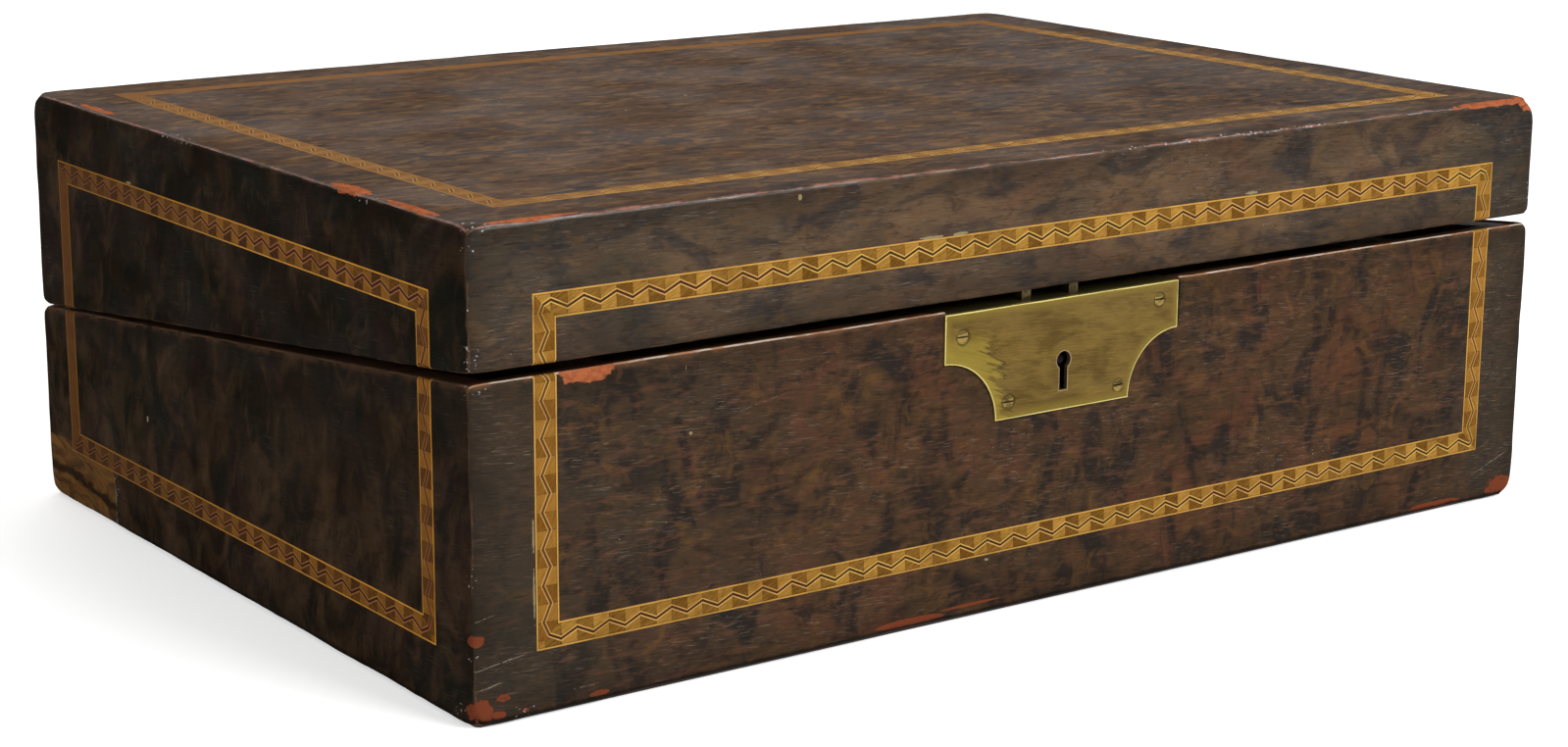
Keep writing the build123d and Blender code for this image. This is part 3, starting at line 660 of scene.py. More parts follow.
@dataclass(frozen=True)
class Carcase:
    """The veneers and boards of both halves."""

    # The lock plate hides this cut-out in the veneer: half width and foot of its two steps.
    lock_hole: tuple[tuple[float, float], ...] = ((44.5, 78.7), (24.0, 60.0))
    out_of_reach: float = 50.0      # stands for the top's distance from edges that it doesn't have

    def in_groove(self, half: Half, side: Side, along: np.ndarray, level: np.ndarray) -> np.ndarray:
        """Where the ring of banding lies: inside its outer outline and not inside its inner one.

        Args:
            half: which half of the box.
            side: which face.
            along: places along the face.
            level: heights.

        Returns:
            True in the ring.
        """
        reach = side.half_length - FACE_MARGIN
        in_from_flat = half.upward * (level - half.flat) - half.margin
        in_from_end = reach - np.abs(along)
        slip = GROOVE_WALL / 2
        within = (in_from_flat > slip) & (in_from_end > slip)
        return within & ~((in_from_flat > BAND - slip) & (in_from_end > BAND - slip))

    def upright(self, half: Half, side: Side) -> Shape:
        """The veneer of one upright face, with the groove for its banding.

        Args:
            half: which half of the box.
            side: which face.

        Returns:
            The veneer, with its distances from the flat end, the rim and the face's ends as an attribute.
        """
        columns = grid_lines(side.half_length, FACE_MARGIN)
        depth = side.depth(columns)
        level = half.rows(depth)
        along = np.broadcast_to(columns, level.shape)
        points = half.sharp(side, along, level)
        grooved = self.in_groove(half, side, along, level) & (side is not Side.BACK)
        outer = half.worn(points, GROOVE * grooved)
        inner = half.worn(points, VENEER_BACK)
        to_rim = half.upward * (half.rim(depth) - level)
        to_flat = half.upward * (level - half.flat)
        wear = np.stack([to_flat, to_rim, side.half_length - np.abs(along)], -1)
        keep = None
        if half is BASE and side is Side.FRONT:
            middle_x = (along[:-1, :-1] + along[1:, 1:]) / 2 - LOCK_X
            middle_z = (level[:-1, :-1] + level[1:, 1:]) / 2
            cut = [(np.abs(middle_x) < width) & (middle_z > foot) for width, foot in self.lock_hole]
            keep = ~(cut[0] | cut[1])
        return slab(outer, inner, keep, wear=wear)

    def top(self) -> Shape:
        """The veneer of the lid's top, with the groove for its banding.

        Returns:
            The veneer, with its distance from the edges as an attribute.
        """
        lines = [grid_lines(end, TOP_MARGIN) for end in (HALF_WIDTH, HALF_DEPTH)]
        x, y = np.meshgrid(*lines, indexing="ij")
        points = np.stack([x, y, np.full(x.shape, TOP)], -1)
        edge = np.minimum(HALF_WIDTH - np.abs(x), HALF_DEPTH - np.abs(y))
        slip = GROOVE_WALL / 2
        grooved = (edge > TOP_MARGIN + slip) & (edge < TOP_MARGIN + BAND - slip)
        far = np.full(x.shape, self.out_of_reach)
        wear = np.stack([edge, far, far], -1)
        return slab(LID.worn(points, GROOVE * grooved), LID.worn(points, VENEER_BACK), wear=wear)

    def build(self) -> None:
        """Makes every veneer and tucks the boards in behind them."""
        for half in (BASE, LID):
            long_finish, end_finish = BASE_FINISHES if half is BASE else LID_FINISHES
            for word, side in (("front", Side.FRONT), ("back", Side.BACK)):
                node = f"{half.name}_{word}_veneer"
                show(self.upright(half, side).piece(f"worn_{node}"), node, long_finish)
            node = f"{half.name}_side_veneers"
            both = self.upright(half, Side.LEFT) + self.upright(half, Side.RIGHT)
            show(both.piece(f"worn_{node}"), node, end_finish)
            for word in ("front", "back", "left", "right"):
                node = f"{half.name}_{word}_board"
                show(refined(node, 0.0, half.tucked), node, CARCASE_WOOD)
        show(self.top().piece("worn_lid_top_veneer"), "lid_top_veneer", TOP_FINISH)
        for node, moved in (("base_bottom_board", BASE.drawn_in), ("lid_top_board", LID.tucked)):
            show(refined(node, 0.0, moved), node, CARCASE_WOOD)


# ------------------------------------------------------------------------ banding
@dataclass(frozen=True)
class Strip:
    """A straight run of banding on a face.

    Its outer edge starts at a corner of the ring and follows run; across leads inwards. The pattern
    has a vertex of its zigzag nearest the outer edge at first_peak from the start.
    """

    start: tuple[float, float]
    run: tuple[float, float]
    across: tuple[float, float]
    length: float
    first_peak: float
    light_after_peak: bool      # which of the two blocks beside a peak is the light one
    plain: float = 0.0          # how plain its pattern is, up to 1
    to_rim: bool = False        # whether it ends at a rim, not in a mitre

    def spot(self, u: np.ndarray, v: np.ndarray) -> list[np.ndarray]:
        """The face's two coordinates at u along and v across the strip."""
        return [s + r * u + a * v for s, r, a in zip(self.start, self.run, self.across)]

    def grid(self) -> tuple[np.ndarray, np.ndarray]:
        """Shares of the length and places across, fine at the rim and at the edges.

        Returns:
            The shares and the places.
        """
        count = math.ceil(self.length / COARSE)
        if not self.to_rim:
            return np.linspace(0, 1, count), STRIP_ROWS
        rim_end = 1.0 - EDGE_ROWS[::-1] / self.length
        lead = np.linspace(0.0, rim_end[0], count)[:-1]
        return np.concatenate([lead, rim_end]), STRIP_ROWS


@dataclass(frozen=True)
class Banding:
    """The parquetry banding of every face."""

    upright: float = 60.0       # about how long a strip is that ends at a rim
    base_phase: float = 7.5     # places of the first peaks from the rings' first corners
    lid_phase: float = 5.5
    top_phase: float = 5.0
    crease: float = 30.0        # degrees past which an edge stays sharp
    front_plain: tuple[float, float] = (0.4, 0.4)
    end_plain: tuple[float, float] = (0.12, 1.0)

    def strips(self, half_length: float, start: float, upward: int, phase: float,
               plain: tuple[float, float]) -> list[Strip]:
        """The three strips of an upright face.

        Args:
            half_length: half the length of the ring's long side.
            start: height of the ring's outer edge at the flat end.
            upward: 1 where the uprights lead up.
            phase: place of the first peak from the ring's first corner.
            plain: how plain the two uprights are, up to 1, which has no zigzag.

        Returns:
            The strips.
        """
        length = 2 * half_length
        other = (length - phase) % PATTERN
        left, right, up = (-half_length, start), (half_length, start), (0, upward)
        return [Strip(left, (1, 0), up, length, phase, upward > 0),
                Strip(left, up, (1, 0), self.upright, phase, True, plain[0], True),
                Strip(right, up, (-1, 0), self.upright, other, True, plain[1], True)]

    def on_face(self, half: Half, side: Side, phase: float) -> Shape:
        """All strips of one upright face.

        Args:
            half: which half of the box.
            side: which face.
            phase: place of the first peak from the ring's first corner.

        Returns:
            The strips as one shape.
        """
        reach = side.half_length - FACE_MARGIN
        start = half.flat + half.upward * half.margin
        plain = self.front_plain if side.across_box else self.end_plain
        shapes = []
        for strip in self.strips(reach, start, half.upward, phase, plain):
            edges = strip.start[0] + strip.across[0] * np.linspace(0, BAND, 2)
            ends = np.abs(half.rim(side.depth(edges)) - start) + VENEER
            shapes.append(self.strip(strip, half, partial(half.sharp, side), ends if strip.to_rim else None))
        return reduce(Shape.__add__, shapes)

    def strip(self, strip: Strip, half: Half, surface: Callable[[np.ndarray, np.ndarray], np.ndarray],
              ends: Optional[np.ndarray]) -> Shape:
        """One strip as a closed sheet that follows the worn surface.

        A point lies at u = mitre(v) + share * (end(v) - mitre(v)) along the strip, where the mitre
        at a corner is v itself, and the edges are eased by a few hundredths of a millimetre.

        Args:
            strip: the run.
            half: which half of the box it lies on.
            surface: gives sharp points from the face's two coordinates.
            ends: where it ends along its outer and inner edge at the rim, or None at a mitre.

        Returns:
            The strip, with u, v and its plainness as an attribute.
        """
        share, across = strip.grid()
        v = np.broadcast_to(across, (len(share), len(across)))
        end = strip.length - v if ends is None else ends[0] + (ends[1] - ends[0]) * v / BAND
        u = v + share[:, None] * (end - v)
        points = surface(*strip.spot(u, v))
        eased = np.where((across == 0.0) | (across == BAND), BAND_EASE, -BAND_PROUD)
        outer = half.worn(points, eased)
        inner = half.worn(points, BAND_BACK)
        side = 1.0 if strip.light_after_peak else -1.0
        pattern = np.stack([(u - strip.first_peak) * side, v, np.full(v.shape, strip.plain)], -1)
        return slab(outer, inner, strip=pattern)

    def on_top(self) -> Shape:
        """The four strips of the lid's top.

        Returns:
            The strips as one shape.
        """
        x, y = HALF_WIDTH - TOP_MARGIN, HALF_DEPTH - TOP_MARGIN
        shapes = []
        for a, b in ((1, 0), (0, 1), (-1, 0), (0, -1)):
            length = 2 * (x if a else y)
            strip = Strip((x * (b - a), -y * (a + b)), (a, b), (-b, a), length, self.top_phase, True)
            shapes.append(self.strip(strip, LID, self.at_top, None))
        return reduce(Shape.__add__, shapes)

    @staticmethod
    def at_top(x: np.ndarray, y: np.ndarray) -> np.ndarray:
        """Points of the sharp top."""
        return np.stack([x, y, np.full(x.shape, TOP)], -1)

    def build(self) -> None:
        """Makes the banding of both halves."""
        for half, phase in ((BASE, self.base_phase), (LID, self.lid_phase)):
            front = self.on_face(half, Side.FRONT, phase)
            ends = self.on_face(half, Side.LEFT, phase) + self.on_face(half, Side.RIGHT, phase)
            self.inlay(front, f"{half.name}_front_banding", FRONT_PARQUETRY)
            self.inlay(ends, f"{half.name}_side_bandings", END_PARQUETRY)
        self.inlay(self.on_top(), "lid_top_banding", TOP_PARQUETRY)

    def inlay(self, shape: Shape, node: str, finish: "Parquetry") -> None:
        """Lets a shape stand for a CAD node of banding."""
        show(shape.piece(f"inlaid_{node}", self.crease), node, finish)


# ------------------------------------------------------------------------ dressing
class Slot(Enum):
    """The record's material slots."""

    VENEER = "veneer"
    BANDING = "banding"
    CARCASE = "carcase"
    INTERIOR = "interior_wood"
    BRASS = "brass"
    STEEL = "steel"
    LEATHER = "leather"
    GLASS = "glass"


@dataclass(frozen=True)
class Finish:
    """A finish, which is one material."""

    name: str

    def shared(self) -> bpy.types.Material:
        """The material, made once."""
        return bpy.data.materials.get(self.name) or self.material()

    def material(self) -> bpy.types.Material:
        """Makes the material."""
        raise NotImplementedError

    def extra(self, tree: Tree, colour: bpy.types.NodeSocket) -> bpy.types.NodeSocket:
        """Lays over a colour what only one kind of a finish has; nothing here."""
        return colour


def body_of(node: str) -> str:
    """The body that a CAD node rides on."""
    return frame["nodes"][node]["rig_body"]


def show(piece: bpy.types.Object, node: str, finish: Finish) -> None:
    """Dresses a piece and lets it stand for a CAD node.

    Args:
        piece: the new piece.
        node: the CAD node that it stands for and rides with.
        finish: its finish.
    """
    piece.data.materials.clear()
    piece.data.materials.append(finish.shared())
    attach(piece, body_of(node))
    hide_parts(node)
    LOG.info("%s stands for %s", piece.name, node)


def refined(node: str, bevel: float, moved: Optional[Callable[[np.ndarray], np.ndarray]] = None,
            segments: int = 2, angle: float = 30.0) -> bpy.types.Object:
    """A joined-up copy of a CAD node, with its sharp edges eased.

    Args:
        node: the CAD node.
        bevel: width of the bevel in millimetres, or 0 for none.
        moved: changes the points in millimetres, if given.
        segments: faces across the bevel.
        angle: only edges that turn by more degrees than this are bevelled.

    Returns:
        The copy.
    """
    mesh = frame["nodes"][node].data.copy()
    mesh.name = f"eased_{node}"
    work = bmesh.new()
    work.from_mesh(mesh)
    bmesh.ops.remove_doubles(work, verts=work.verts, dist=WELD)
    turn = math.radians(FLAT_TURN)
    bmesh.ops.dissolve_limit(work, angle_limit=turn, verts=work.verts, edges=work.edges)
    work.to_mesh(mesh)
    work.free()
    if moved is not None:
        points = np.zeros(len(mesh.vertices) * 3)
        mesh.vertices.foreach_get("co", points)
        mesh.vertices.foreach_set("co", (moved(points.reshape(-1, 3) / MM) * MM).ravel())
    mesh.polygons.foreach_set("use_smooth", np.ones(len(mesh.polygons), bool))
    mesh.set_sharp_from_angle(angle=math.radians(angle))
    mesh.update()
    piece = bpy.data.objects.new(f"eased_{node}", mesh)
    bpy.context.scene.collection.objects.link(piece)
    if bevel:
        ease = piece.modifiers.new("eased_edges", "BEVEL")
        ease.width = bevel * MM
        ease.segments = segments
        ease.limit_method = "ANGLE"
        ease.angle_limit = math.radians(angle)
        ease.harden_normals = True
    return piece


def dress(nodes: Sequence[str], bevel: float, finish: Finish, segments: int = 2) -> None:
    """Puts an eased copy in the place of each of some CAD nodes.

    Args:
        nodes: the CAD nodes.
        bevel: width of the bevel in millimetres.
        finish: their finish.
        segments: faces across the bevel.
    """
    for node in nodes:
        show(refined(node, bevel, segments=segments), node, finish)


# ------------------------------------------------------------------------ finishes
@dataclass(frozen=True)
class Patch:
    """A spot of another finish: an ellipsoid whose edge a noise makes ragged."""

    place: Point
    reach: Point
    ragged: float = 0.8


def spots(tree: Tree, patches: Sequence[Patch], noise: Value) -> Value:
    """How much of a point lies in any of some patches.

    Args:
        tree: the material.
        patches: the spots.
        noise: noise from 0 to 1 that breaks up their edges.

    Returns:
        1 inside, 0 outside.
    """
    nearest: Optional[Value] = None
    for patch in patches:
        shift = tuple(-p / r for p, r in zip(patch.place, patch.reach))
        local = tree.scaled(tree.place(), patch.reach, shift)
        away = tree.value("ShaderNodeVectorMath", {"operation": "LENGTH"}, {0: local}, "Value")
        away = away + (noise - 0.5) * patch.ragged
        nearest = away if nearest is None else nearest.least(away)
    return nearest.rise(1.05, 0.95)


@dataclass(frozen=True)
class Scratch:
    """A long scratch or crack on the front, from one point to another in x and z."""

    start: tuple[float, float]
    end: tuple[float, float]
    width: float = 0.18
    share: float = 0.7

    def shown(self, tree: Tree, wander: Value) -> Value:
        """How much of it a point lies in: near its line, between its ends, and on the front only.

        Args:
            tree: the material's tree.
            wander: noise from 0 to 1 that bends the line.

        Returns:
            Its share, from 0 to 1.
        """
        x, y, z = tree.parts()
        share = (x - self.start[0]) / (self.end[0] - self.start[0])
        off = abs(z - self.start[1] - share * (self.end[1] - self.start[1]) + (wander - 0.5) * 0.9)
        within = share.rise(-0.02, 0.06) * share.rise(1.0, 0.6) * (y < 0.9 - HALF_DEPTH)
        broken = tree.noise((1.8, 1.8, 1.8), 1, 0.0, 8.0).rise(0.36, 0.52)
        return off.rise(self.width, self.width * 0.3) * within * broken * self.share


BASE_RED = (
    Patch((-164, -140, 93.9), (9.0, 3, 5.0), 0.70), Patch((-197.8, -140, 4.6), (3.4, 4, 3.6), 1.0),
    Patch((-190.6, -140, 7.6), (2.2, 3, 1.2), 1.4), Patch((-192.0, -140, 3.2), (2.0, 3, 1.2), 1.4),
    Patch((-198.9, -140, 24.4), (2.3, 3, 1.6), 1.2), Patch((-56, -140, 3.2), (12, 3, 1.2), 0.5),
    Patch((-34, -140, 4.4), (11, 3, 0.5), 0.4), Patch((162, -140, 2.6), (12, 3, 1.2), 0.5),
    Patch((193, -140, 4.4), (6.6, 5, 3.0), 1.3), Patch((-184.2, -140, 2.9), (1.2, 2, 0.7), 1.0),
    Patch((-161.0, -140, 3.0), (3.4, 2, 0.8), 1.2),
    Patch((199, 128, 4), (3, 7, 4)), Patch((-120, 140, 3), (11, 3, 2)),
)
LID_RED = (
    Patch((182, -140, 134), (22, 4, 1.5), 0.9), Patch((196, -138, 132.5), (5, 4, 3), 0.9),
    Patch((-197, -75, 134), (2.6, 10, 3), 1.0), Patch((-197.5, -109, 134), (1.6, 15, 2), 1.0),
    Patch((-197, 93, 134), (1.5, 13, 2), 1.0), Patch((-180, -138.4, 134), (15, 1.3, 1.0), 1.0),
    Patch((199, 60, 134), (2, 14, 2)), Patch((120, 140, 134), (15, 3, 2)),
)
RESIDUE = (
    Patch((-96, -140, 131), (0.7, 2, 0.8), 1.3), Patch((-50, -140, 114.9), (4.4, 2, 0.4), 1.2),
    Patch((-40, -140, 114.9), (2.4, 2, 0.5), 1.2), Patch((73, -140, 115.2), (2.6, 2, 0.5), 1.3),
    Patch((-181.1, -140, 50), (0.3, 2, 5), 1.3), Patch((-181.1, -140, 34), (0.3, 2, 7), 1.3),
    Patch((-28, -140, 17), (0.9, 2, 0.4), 1.3), Patch((-200, 59.5, 41.8), (2, 0.7, 1.1), 1.3),
    Patch((-200, 66, 115), (2, 1.6, 0.4), 1.3), Patch((-28, 17, 134), (0.7, 0.7, 2), 1.3),
    Patch((-61, 1, 134), (0.6, 0.6, 2), 1.3), Patch((-131.8, -140, 70.5), (0.6, 2, 0.4), 1.3),
    Patch((-133.3, -140, 88.8), (0.10, 2, 0.8), 1.0),
)
# Painted glints: clusters of white specks of painted highlight on worn edges and corners; the last of the
# lid's runs along its front top edge.
BASE_GLINTS = (
    Patch((-198.6, -139.5, 91.8), (4.6, 4, 1.8)), Patch((-199.5, -139, 42), (2.0, 3, 3.0)),
    Patch((-199, -139, 20), (1.6, 3, 1.2)), Patch((-200, -133, 3), (3, 3, 3)),
    Patch((-185, -140, 3), (4, 2, 2)), Patch((-200, 86, 12), (3, 1.6, 8)),
)
LID_GLINTS = (
    Patch((-198.8, -139.5, 99.5), (3.4, 4, 3.6)), Patch((-199.2, -139.5, 113), (2.0, 3, 1.2)),
    Patch((-199, -139.5, 128), (2.2, 3, 1.2)), Patch((-197.5, -138.5, 133.4), (5.5, 4, 1.4)),
    Patch((-199, -86, 133.2), (3, 6, 1.6)), Patch((199, -139, 104), (2, 3, 4)),
    Patch((-199, 30, 133.2), (2, 12, 1.2)), Patch((60, -140, 133.6), (60, 2, 0.7)),
)
BASE_SCRATCHES = (
    Scratch((-200.6, 16.0), (-181.1, 18.9)), Scratch((-200.4, 10.6), (-190.4, 12.0), 0.26),
    Scratch((-199.0, 29.6), (-192.4, 30.9), 0.16), Scratch((196.0, 15.8), (178.0, 9.4), 0.16),
    Scratch((-116.2, 74.2), (-98.0, 77.6), 0.10, 0.35), Scratch((-169.5, 5.8), (-160.0, 6.0), 0.16, 0.6),
)
LID_SCRATCHES = (
    Scratch((-137.0, 97.2), (-108.0, 98.8), 0.10, 0.45), Scratch((-126.0, 98.6), (-104.0, 100.2), 0.08, 0.40),
)


@dataclass(frozen=True)
class Stain:
    """A colour that shows in clouds."""

    colour: Colour
    size: Point
    low: float              # none shows where the clouds' noise is below this
    high: float             # all of it shows above this
    share: float
    seed: float
    warp: float = 1.2
    slanted: bool = False


@dataclass(frozen=True)
class EdgeLine:
    """A line along one kind of edge: worn through, and on the lid's front top edge and the base's front rim
    partly a painted highlight.
    """

    share: float
    width: float
    colour: Colour
    other: Colour           # shows in stretches of it
    gaps: float = 0.42      # the higher, the more of its length is missing
    halo: float = 0.0       # how strongly brown shows beside it


HALO = (0.150, 0.075, 0.038)
HIDDEN_LINE = EdgeLine(0.0, 1.0, (0, 0, 0), (0, 0, 0))
BASE_STAINS = (
    Stain((0.077, 0.040, 0.020), (60, 60, 40), 0.40, 0.68, 0.75, 1.0, 0.8),
    Stain((0.112, 0.041, 0.022), (26, 26, 18), 0.46, 0.70, 0.62, 2.0, 0.8),
    Stain((0.019, 0.0160, 0.0148), (12, 12, 21), 0.45, 0.65, 0.88, 3.0, 0.9),
    Stain((0.140, 0.070, 0.022), (11, 11, 9), 0.52, 0.76, 0.56, 4.0, 1.2),
    Stain((0.018, 0.014, 0.011), (8, 8, 2.8), 0.50, 0.70, 0.58, 5.0, 0.6),
    Stain((0.132, 0.058, 0.032), (8, 8, 1.7), 0.51, 0.70, 0.46, 7.0, 0.6),
)
LID_STAINS = (
    Stain((0.140, 0.084, 0.046), (60, 60, 30), 0.40, 0.62, 0.85, 1.0, 0.8),
    Stain((0.110, 0.052, 0.031), (30, 30, 16), 0.46, 0.74, 0.55, 2.0, 0.8),
    Stain((0.032, 0.029, 0.028), (26, 26, 12), 0.45, 0.64, 0.84, 3.0, 0.9),
    Stain((0.140, 0.078, 0.032), (13, 13, 8), 0.52, 0.76, 0.60, 4.0, 1.0),
    Stain((0.024, 0.018, 0.015), (7, 7, 3), 0.49, 0.74, 0.55, 5.0, 0.8),
    Stain((0.100, 0.052, 0.032), (5, 5, 2), 0.50, 0.74, 0.40, 7.0, 0.6),
)
TOP_STAINS = (
    Stain((0.048, 0.040, 0.040), (44, 20, 40), 0.43, 0.66, 0.80, 3.0, 0.8),
    Stain((0.110, 0.055, 0.034), (30, 13, 30), 0.46, 0.70, 0.55, 2.0, 0.8),
    Stain((0.190, 0.104, 0.046), (13, 5.5, 13), 0.48, 0.66, 0.76, 4.0, 1.2),
    Stain((0.028, 0.023, 0.021), (9, 4.0, 9), 0.49, 0.68, 0.66, 5.0, 1.0),
    Stain((0.165, 0.092, 0.044), (5, 2.2, 5), 0.52, 0.72, 0.55, 6.0, 0.8),
)
END_STAINS = (
    Stain((0.0095, 0.0095, 0.0060), (40, 40, 34), 0.44, 0.62, 0.90, 1.0),
    Stain((0.023, 0.011, 0.009), (26, 18, 30), 0.48, 0.70, 0.80, 2.0),
    Stain((0.074, 0.042, 0.021), (26, 25, 28), 0.47, 0.78, 0.80, 4.0, 0.9, True),
    Stain((0.066, 0.039, 0.021), (12, 10, 14), 0.50, 0.80, 0.55, 6.0, 0.9, True),
    Stain((0.008, 0.007, 0.006), (6, 5, 10), 0.48, 0.72, 0.60, 5.0, 0.8, True),
)


@dataclass(frozen=True)
class StainedVeneer(Finish):
    """Old stained veneer under a dull varnish, scratched along and rubbed through at the edges, with painted
    glints and highlights on some edges and painted shade along the foot.
    """

    stains: tuple[Stain, ...]
    red: tuple[Patch, ...]
    # patches where white specks of painted highlight show
    glints: tuple[Patch, ...] = ()
    scratches: tuple[Scratch, ...] = ()
    edges: tuple[EdgeLine, EdgeLine, EdgeLine] = (HIDDEN_LINE, HIDDEN_LINE, HIDDEN_LINE)
    body: Colour = (0.056, 0.033, 0.0185)
    dark: Colour = (0.016, 0.011, 0.008)
    cool: Colour = (0.042, 0.033, 0.023)
    stroke: Colour = (0.150, 0.098, 0.058)
    hairline: Colour = (0.34, 0.28, 0.21)
    ground: Colour = (0.44, 0.130, 0.050)
    low_ground: Colour = (0.185, 0.046, 0.020)
    # colour of dust specks, of the repair's pale joint and of the painted glints
    pale_mark_and_glint: Colour = (0.70, 0.66, 0.62)
    crumb: Colour = (0.330, 0.270, 0.140)
    grain: Point = (4.4, 4.4, 0.46)
    hair: Point = (5, 5, 0.18)
    grain_dark: float = 0.44
    grain_light: float = 0.46
    hairy: float = 0.40
    grain_warp: float = 1.0
    dusty: float = 0.45
    smear: Point = (0, 0, 0)     # how far the slanted stains lean, in degrees
    slant: Point = (0, -4, 0)
    cooled_below: int = 2        # the stain under which the cool colour lies
    margin_share: float = 0.0    # how far the cool colour covers the outermost 20 mm
    # how dark the painted shade along the foot's rounded edge is
    foot_painted_shade: float = 0.0
    edge_dark: float = 0.35
    seed: float = 0.0
    polish: float = 0.05
    edge_polish: float = 0.15
    roughness: float = 0.5

    def cooled(self, tree: Tree) -> Value:
        """How greenish grey a point is: most at the two ends, in clouds.

        Args:
            tree: the material's tree.

        Returns:
            The share of the cool colour.
        """
        x, _, _ = tree.parts()
        ends = x.rise(-50, -185).most(x.rise(140, 185))
        return ends * tree.noise((40, 40, 24), 3, seed=5.0).rise(0.24, 0.56) * 0.80

    def stained(self, t: Tree) -> bpy.types.NodeSocket:
        """The body's colour with each stain laid over it in its clouds.

        Args:
            t: the material's tree.

        Returns:
            The colour.
        """
        colour: Any = self.body
        turned = t.turned(self.smear)
        for number, stain in enumerate(self.stains):
            if number == self.cooled_below:
                colour = t.mix(self.cooled(t), colour, self.cool)
            at = turned if stain.slanted else None
            cloud = t.noise(stain.size, 3, stain.warp, self.seed + stain.seed * 3.1, at, 0.56)
            colour = t.mix(cloud.rise(stain.low, stain.high) * stain.share, colour, stain.colour)
        if self.margin_share:
            x, _, _ = t.parts()
            margin = x.rise(-168, -184).most(x.rise(168, 184))
            colour = t.mix(margin * self.margin_share, colour, self.cool)
        return colour

    def worn_and_highlight_lines(self, t: Tree, ragged: Value, colour: bpy.types.NodeSocket) -> bpy.types.NodeSocket:
        """Lays the line of each kind of edge over a colour: wear, and on the lid's front top edge and the
        base's front rim partly a painted highlight.

        Args:
            t: the material's tree.
            ragged: noise from 0 to 1 that breaks up their sides.
            colour: the colour under them.

        Returns:
            The colour with the lines.
        """
        stretch = t.noise((19, 19, 19), 3, 0.4, self.seed + 23)
        hue = t.noise((8, 8, 8), 2, 0.0, self.seed + 25).rise(0.44, 0.58)
        for edge, line in zip(t.parts(t.attribute("wear")), self.edges):
            if line.share == 0.0:
                continue
            shift = (ragged - 0.5) * line.width * 2.2 - (stretch - 0.5) * line.width * 3.0
            near = (edge + shift).rise(line.width * 1.2, line.width * 0.1)
            if line.halo:
                beside = (edge + (ragged - 0.5) * 1.6).rise(2.4, 0.3) * hue.rise(-0.3, 0.7)
                colour = t.mix(beside * line.halo, colour, HALO)
            shown = near * stretch.rise(line.gaps, line.gaps + 0.06) * line.share
            colour = t.mix(shown, colour, t.mix(hue, line.colour, line.other))
        return colour

    def material(self) -> bpy.types.Material:
        """Mixes stains, strokes, scratches, worn edges, bare patches, painted glints and highlights, and
        painted shade along the foot into one finish.

        Returns:
            The material.
        """
        t = Tree(self.name)
        to_flat, to_rim, to_end = t.parts(t.attribute("wear"))
        to_edge = to_flat.least(to_rim).least(to_end)
        colour = self.stained(t)
        slanted = t.turned(self.slant)
        grain = t.noise(self.grain, 3, self.grain_warp, self.seed + 7, slanted, 0.6)
        where = t.noise((34, 34, 20), 3, seed=self.seed + 13)
        dark_strokes = grain.rise(0.46, 0.28)
        light_strokes = grain.rise(0.55, 0.72) * where.rise(0.26, 0.60)
        colour = t.mix(dark_strokes * self.grain_dark, colour, self.dark)
        colour = t.mix(light_strokes * self.grain_light, colour, self.stroke)
        hairs = t.noise(self.hair, 0, 0.0, self.seed + 11, slanted).rise(0.73, 0.80) * where.rise(0.42, 0.60)
        colour = t.mix(hairs * self.hairy, colour, self.hairline)
        dust = t.noise((0.62, 0.62, 0.45), 0, 0.5, self.seed + 15).rise(0.82, 0.86) * where.rise(0.54, 0.68)
        colour = t.mix(dust * self.dusty, colour, self.pale_mark_and_glint)
        ragged = t.noise((3.6, 3.6, 2.6), 3, 0.3, self.seed + 19)
        for scratch in self.scratches:
            colour = t.mix(scratch.shown(t, ragged), colour, self.hairline)
        colour = t.mix(to_edge.rise(12.0, 1.5) * self.edge_dark, colour, self.dark)
        colour = self.worn_and_highlight_lines(t, ragged, colour)
        red = spots(t, self.red, ragged)
        flecks = t.noise((1.3, 1.3, 1.0), 2, 0.6, self.seed + 29).rise(0.66, 0.72)
        red_shown = red * (1.0 - flecks * 0.7)
        shade = t.noise((2.6, 2.6, 1.6), 3, 0.6, self.seed + 31).rise(0.32, 0.72)
        _, _, height = t.parts()
        ground = t.mix((shade * 0.6).most(height.rise(60, 25)), self.ground, self.low_ground)
        colour = t.mix(red_shown * 0.92, colour, ground)
        # Painted shade: the rounded edge along the foot darkened nearly to black.
        foot_shade_share = (to_flat + (ragged - 0.5) * 1.2).rise(2.6, 1.2) * self.foot_painted_shade
        colour = t.mix(foot_shade_share, colour, tuple(c * 0.4 for c in self.dark))
        # Painted highlight: white specks within the glint patches.
        if self.glints:
            specks = t.noise((1.0, 1.0, 0.8), 1, 0.3, self.seed + 37).rise(0.64, 0.72)
            sparkle = specks * spots(t, self.glints, ragged)
            colour = t.mix(sparkle * 0.62, colour, self.pale_mark_and_glint)
        crumbs = spots(t, RESIDUE, t.noise((1.1, 1.1, 1.1), 2, seed=4.0))
        colour = t.mix(crumbs * 0.75, colour, self.crumb)
        colour = self.extra(t, colour)
        rough = self.roughness + where * 0.16 + red_shown * 0.2 - light_strokes * 0.06
        relief = light_strokes * 0.14 - dark_strokes * 0.16 - red_shown * 0.5 + crumbs * 0.8 + grain * 0.12
        normal = t.bump(relief + where * 0.5, 0.20, 0.9)
        lit = where.rise(0.25, 0.75) * self.polish
        varnish = (1.0 - red_shown) * (lit + to_flat.rise(1.8, 0.4) * self.edge_polish)
        return t.finish(Base_Color=colour, Roughness=rough, Normal=normal, Specular_IOR_Level=0.0,
                        Coat_Weight=varnish, Coat_Roughness=0.26)


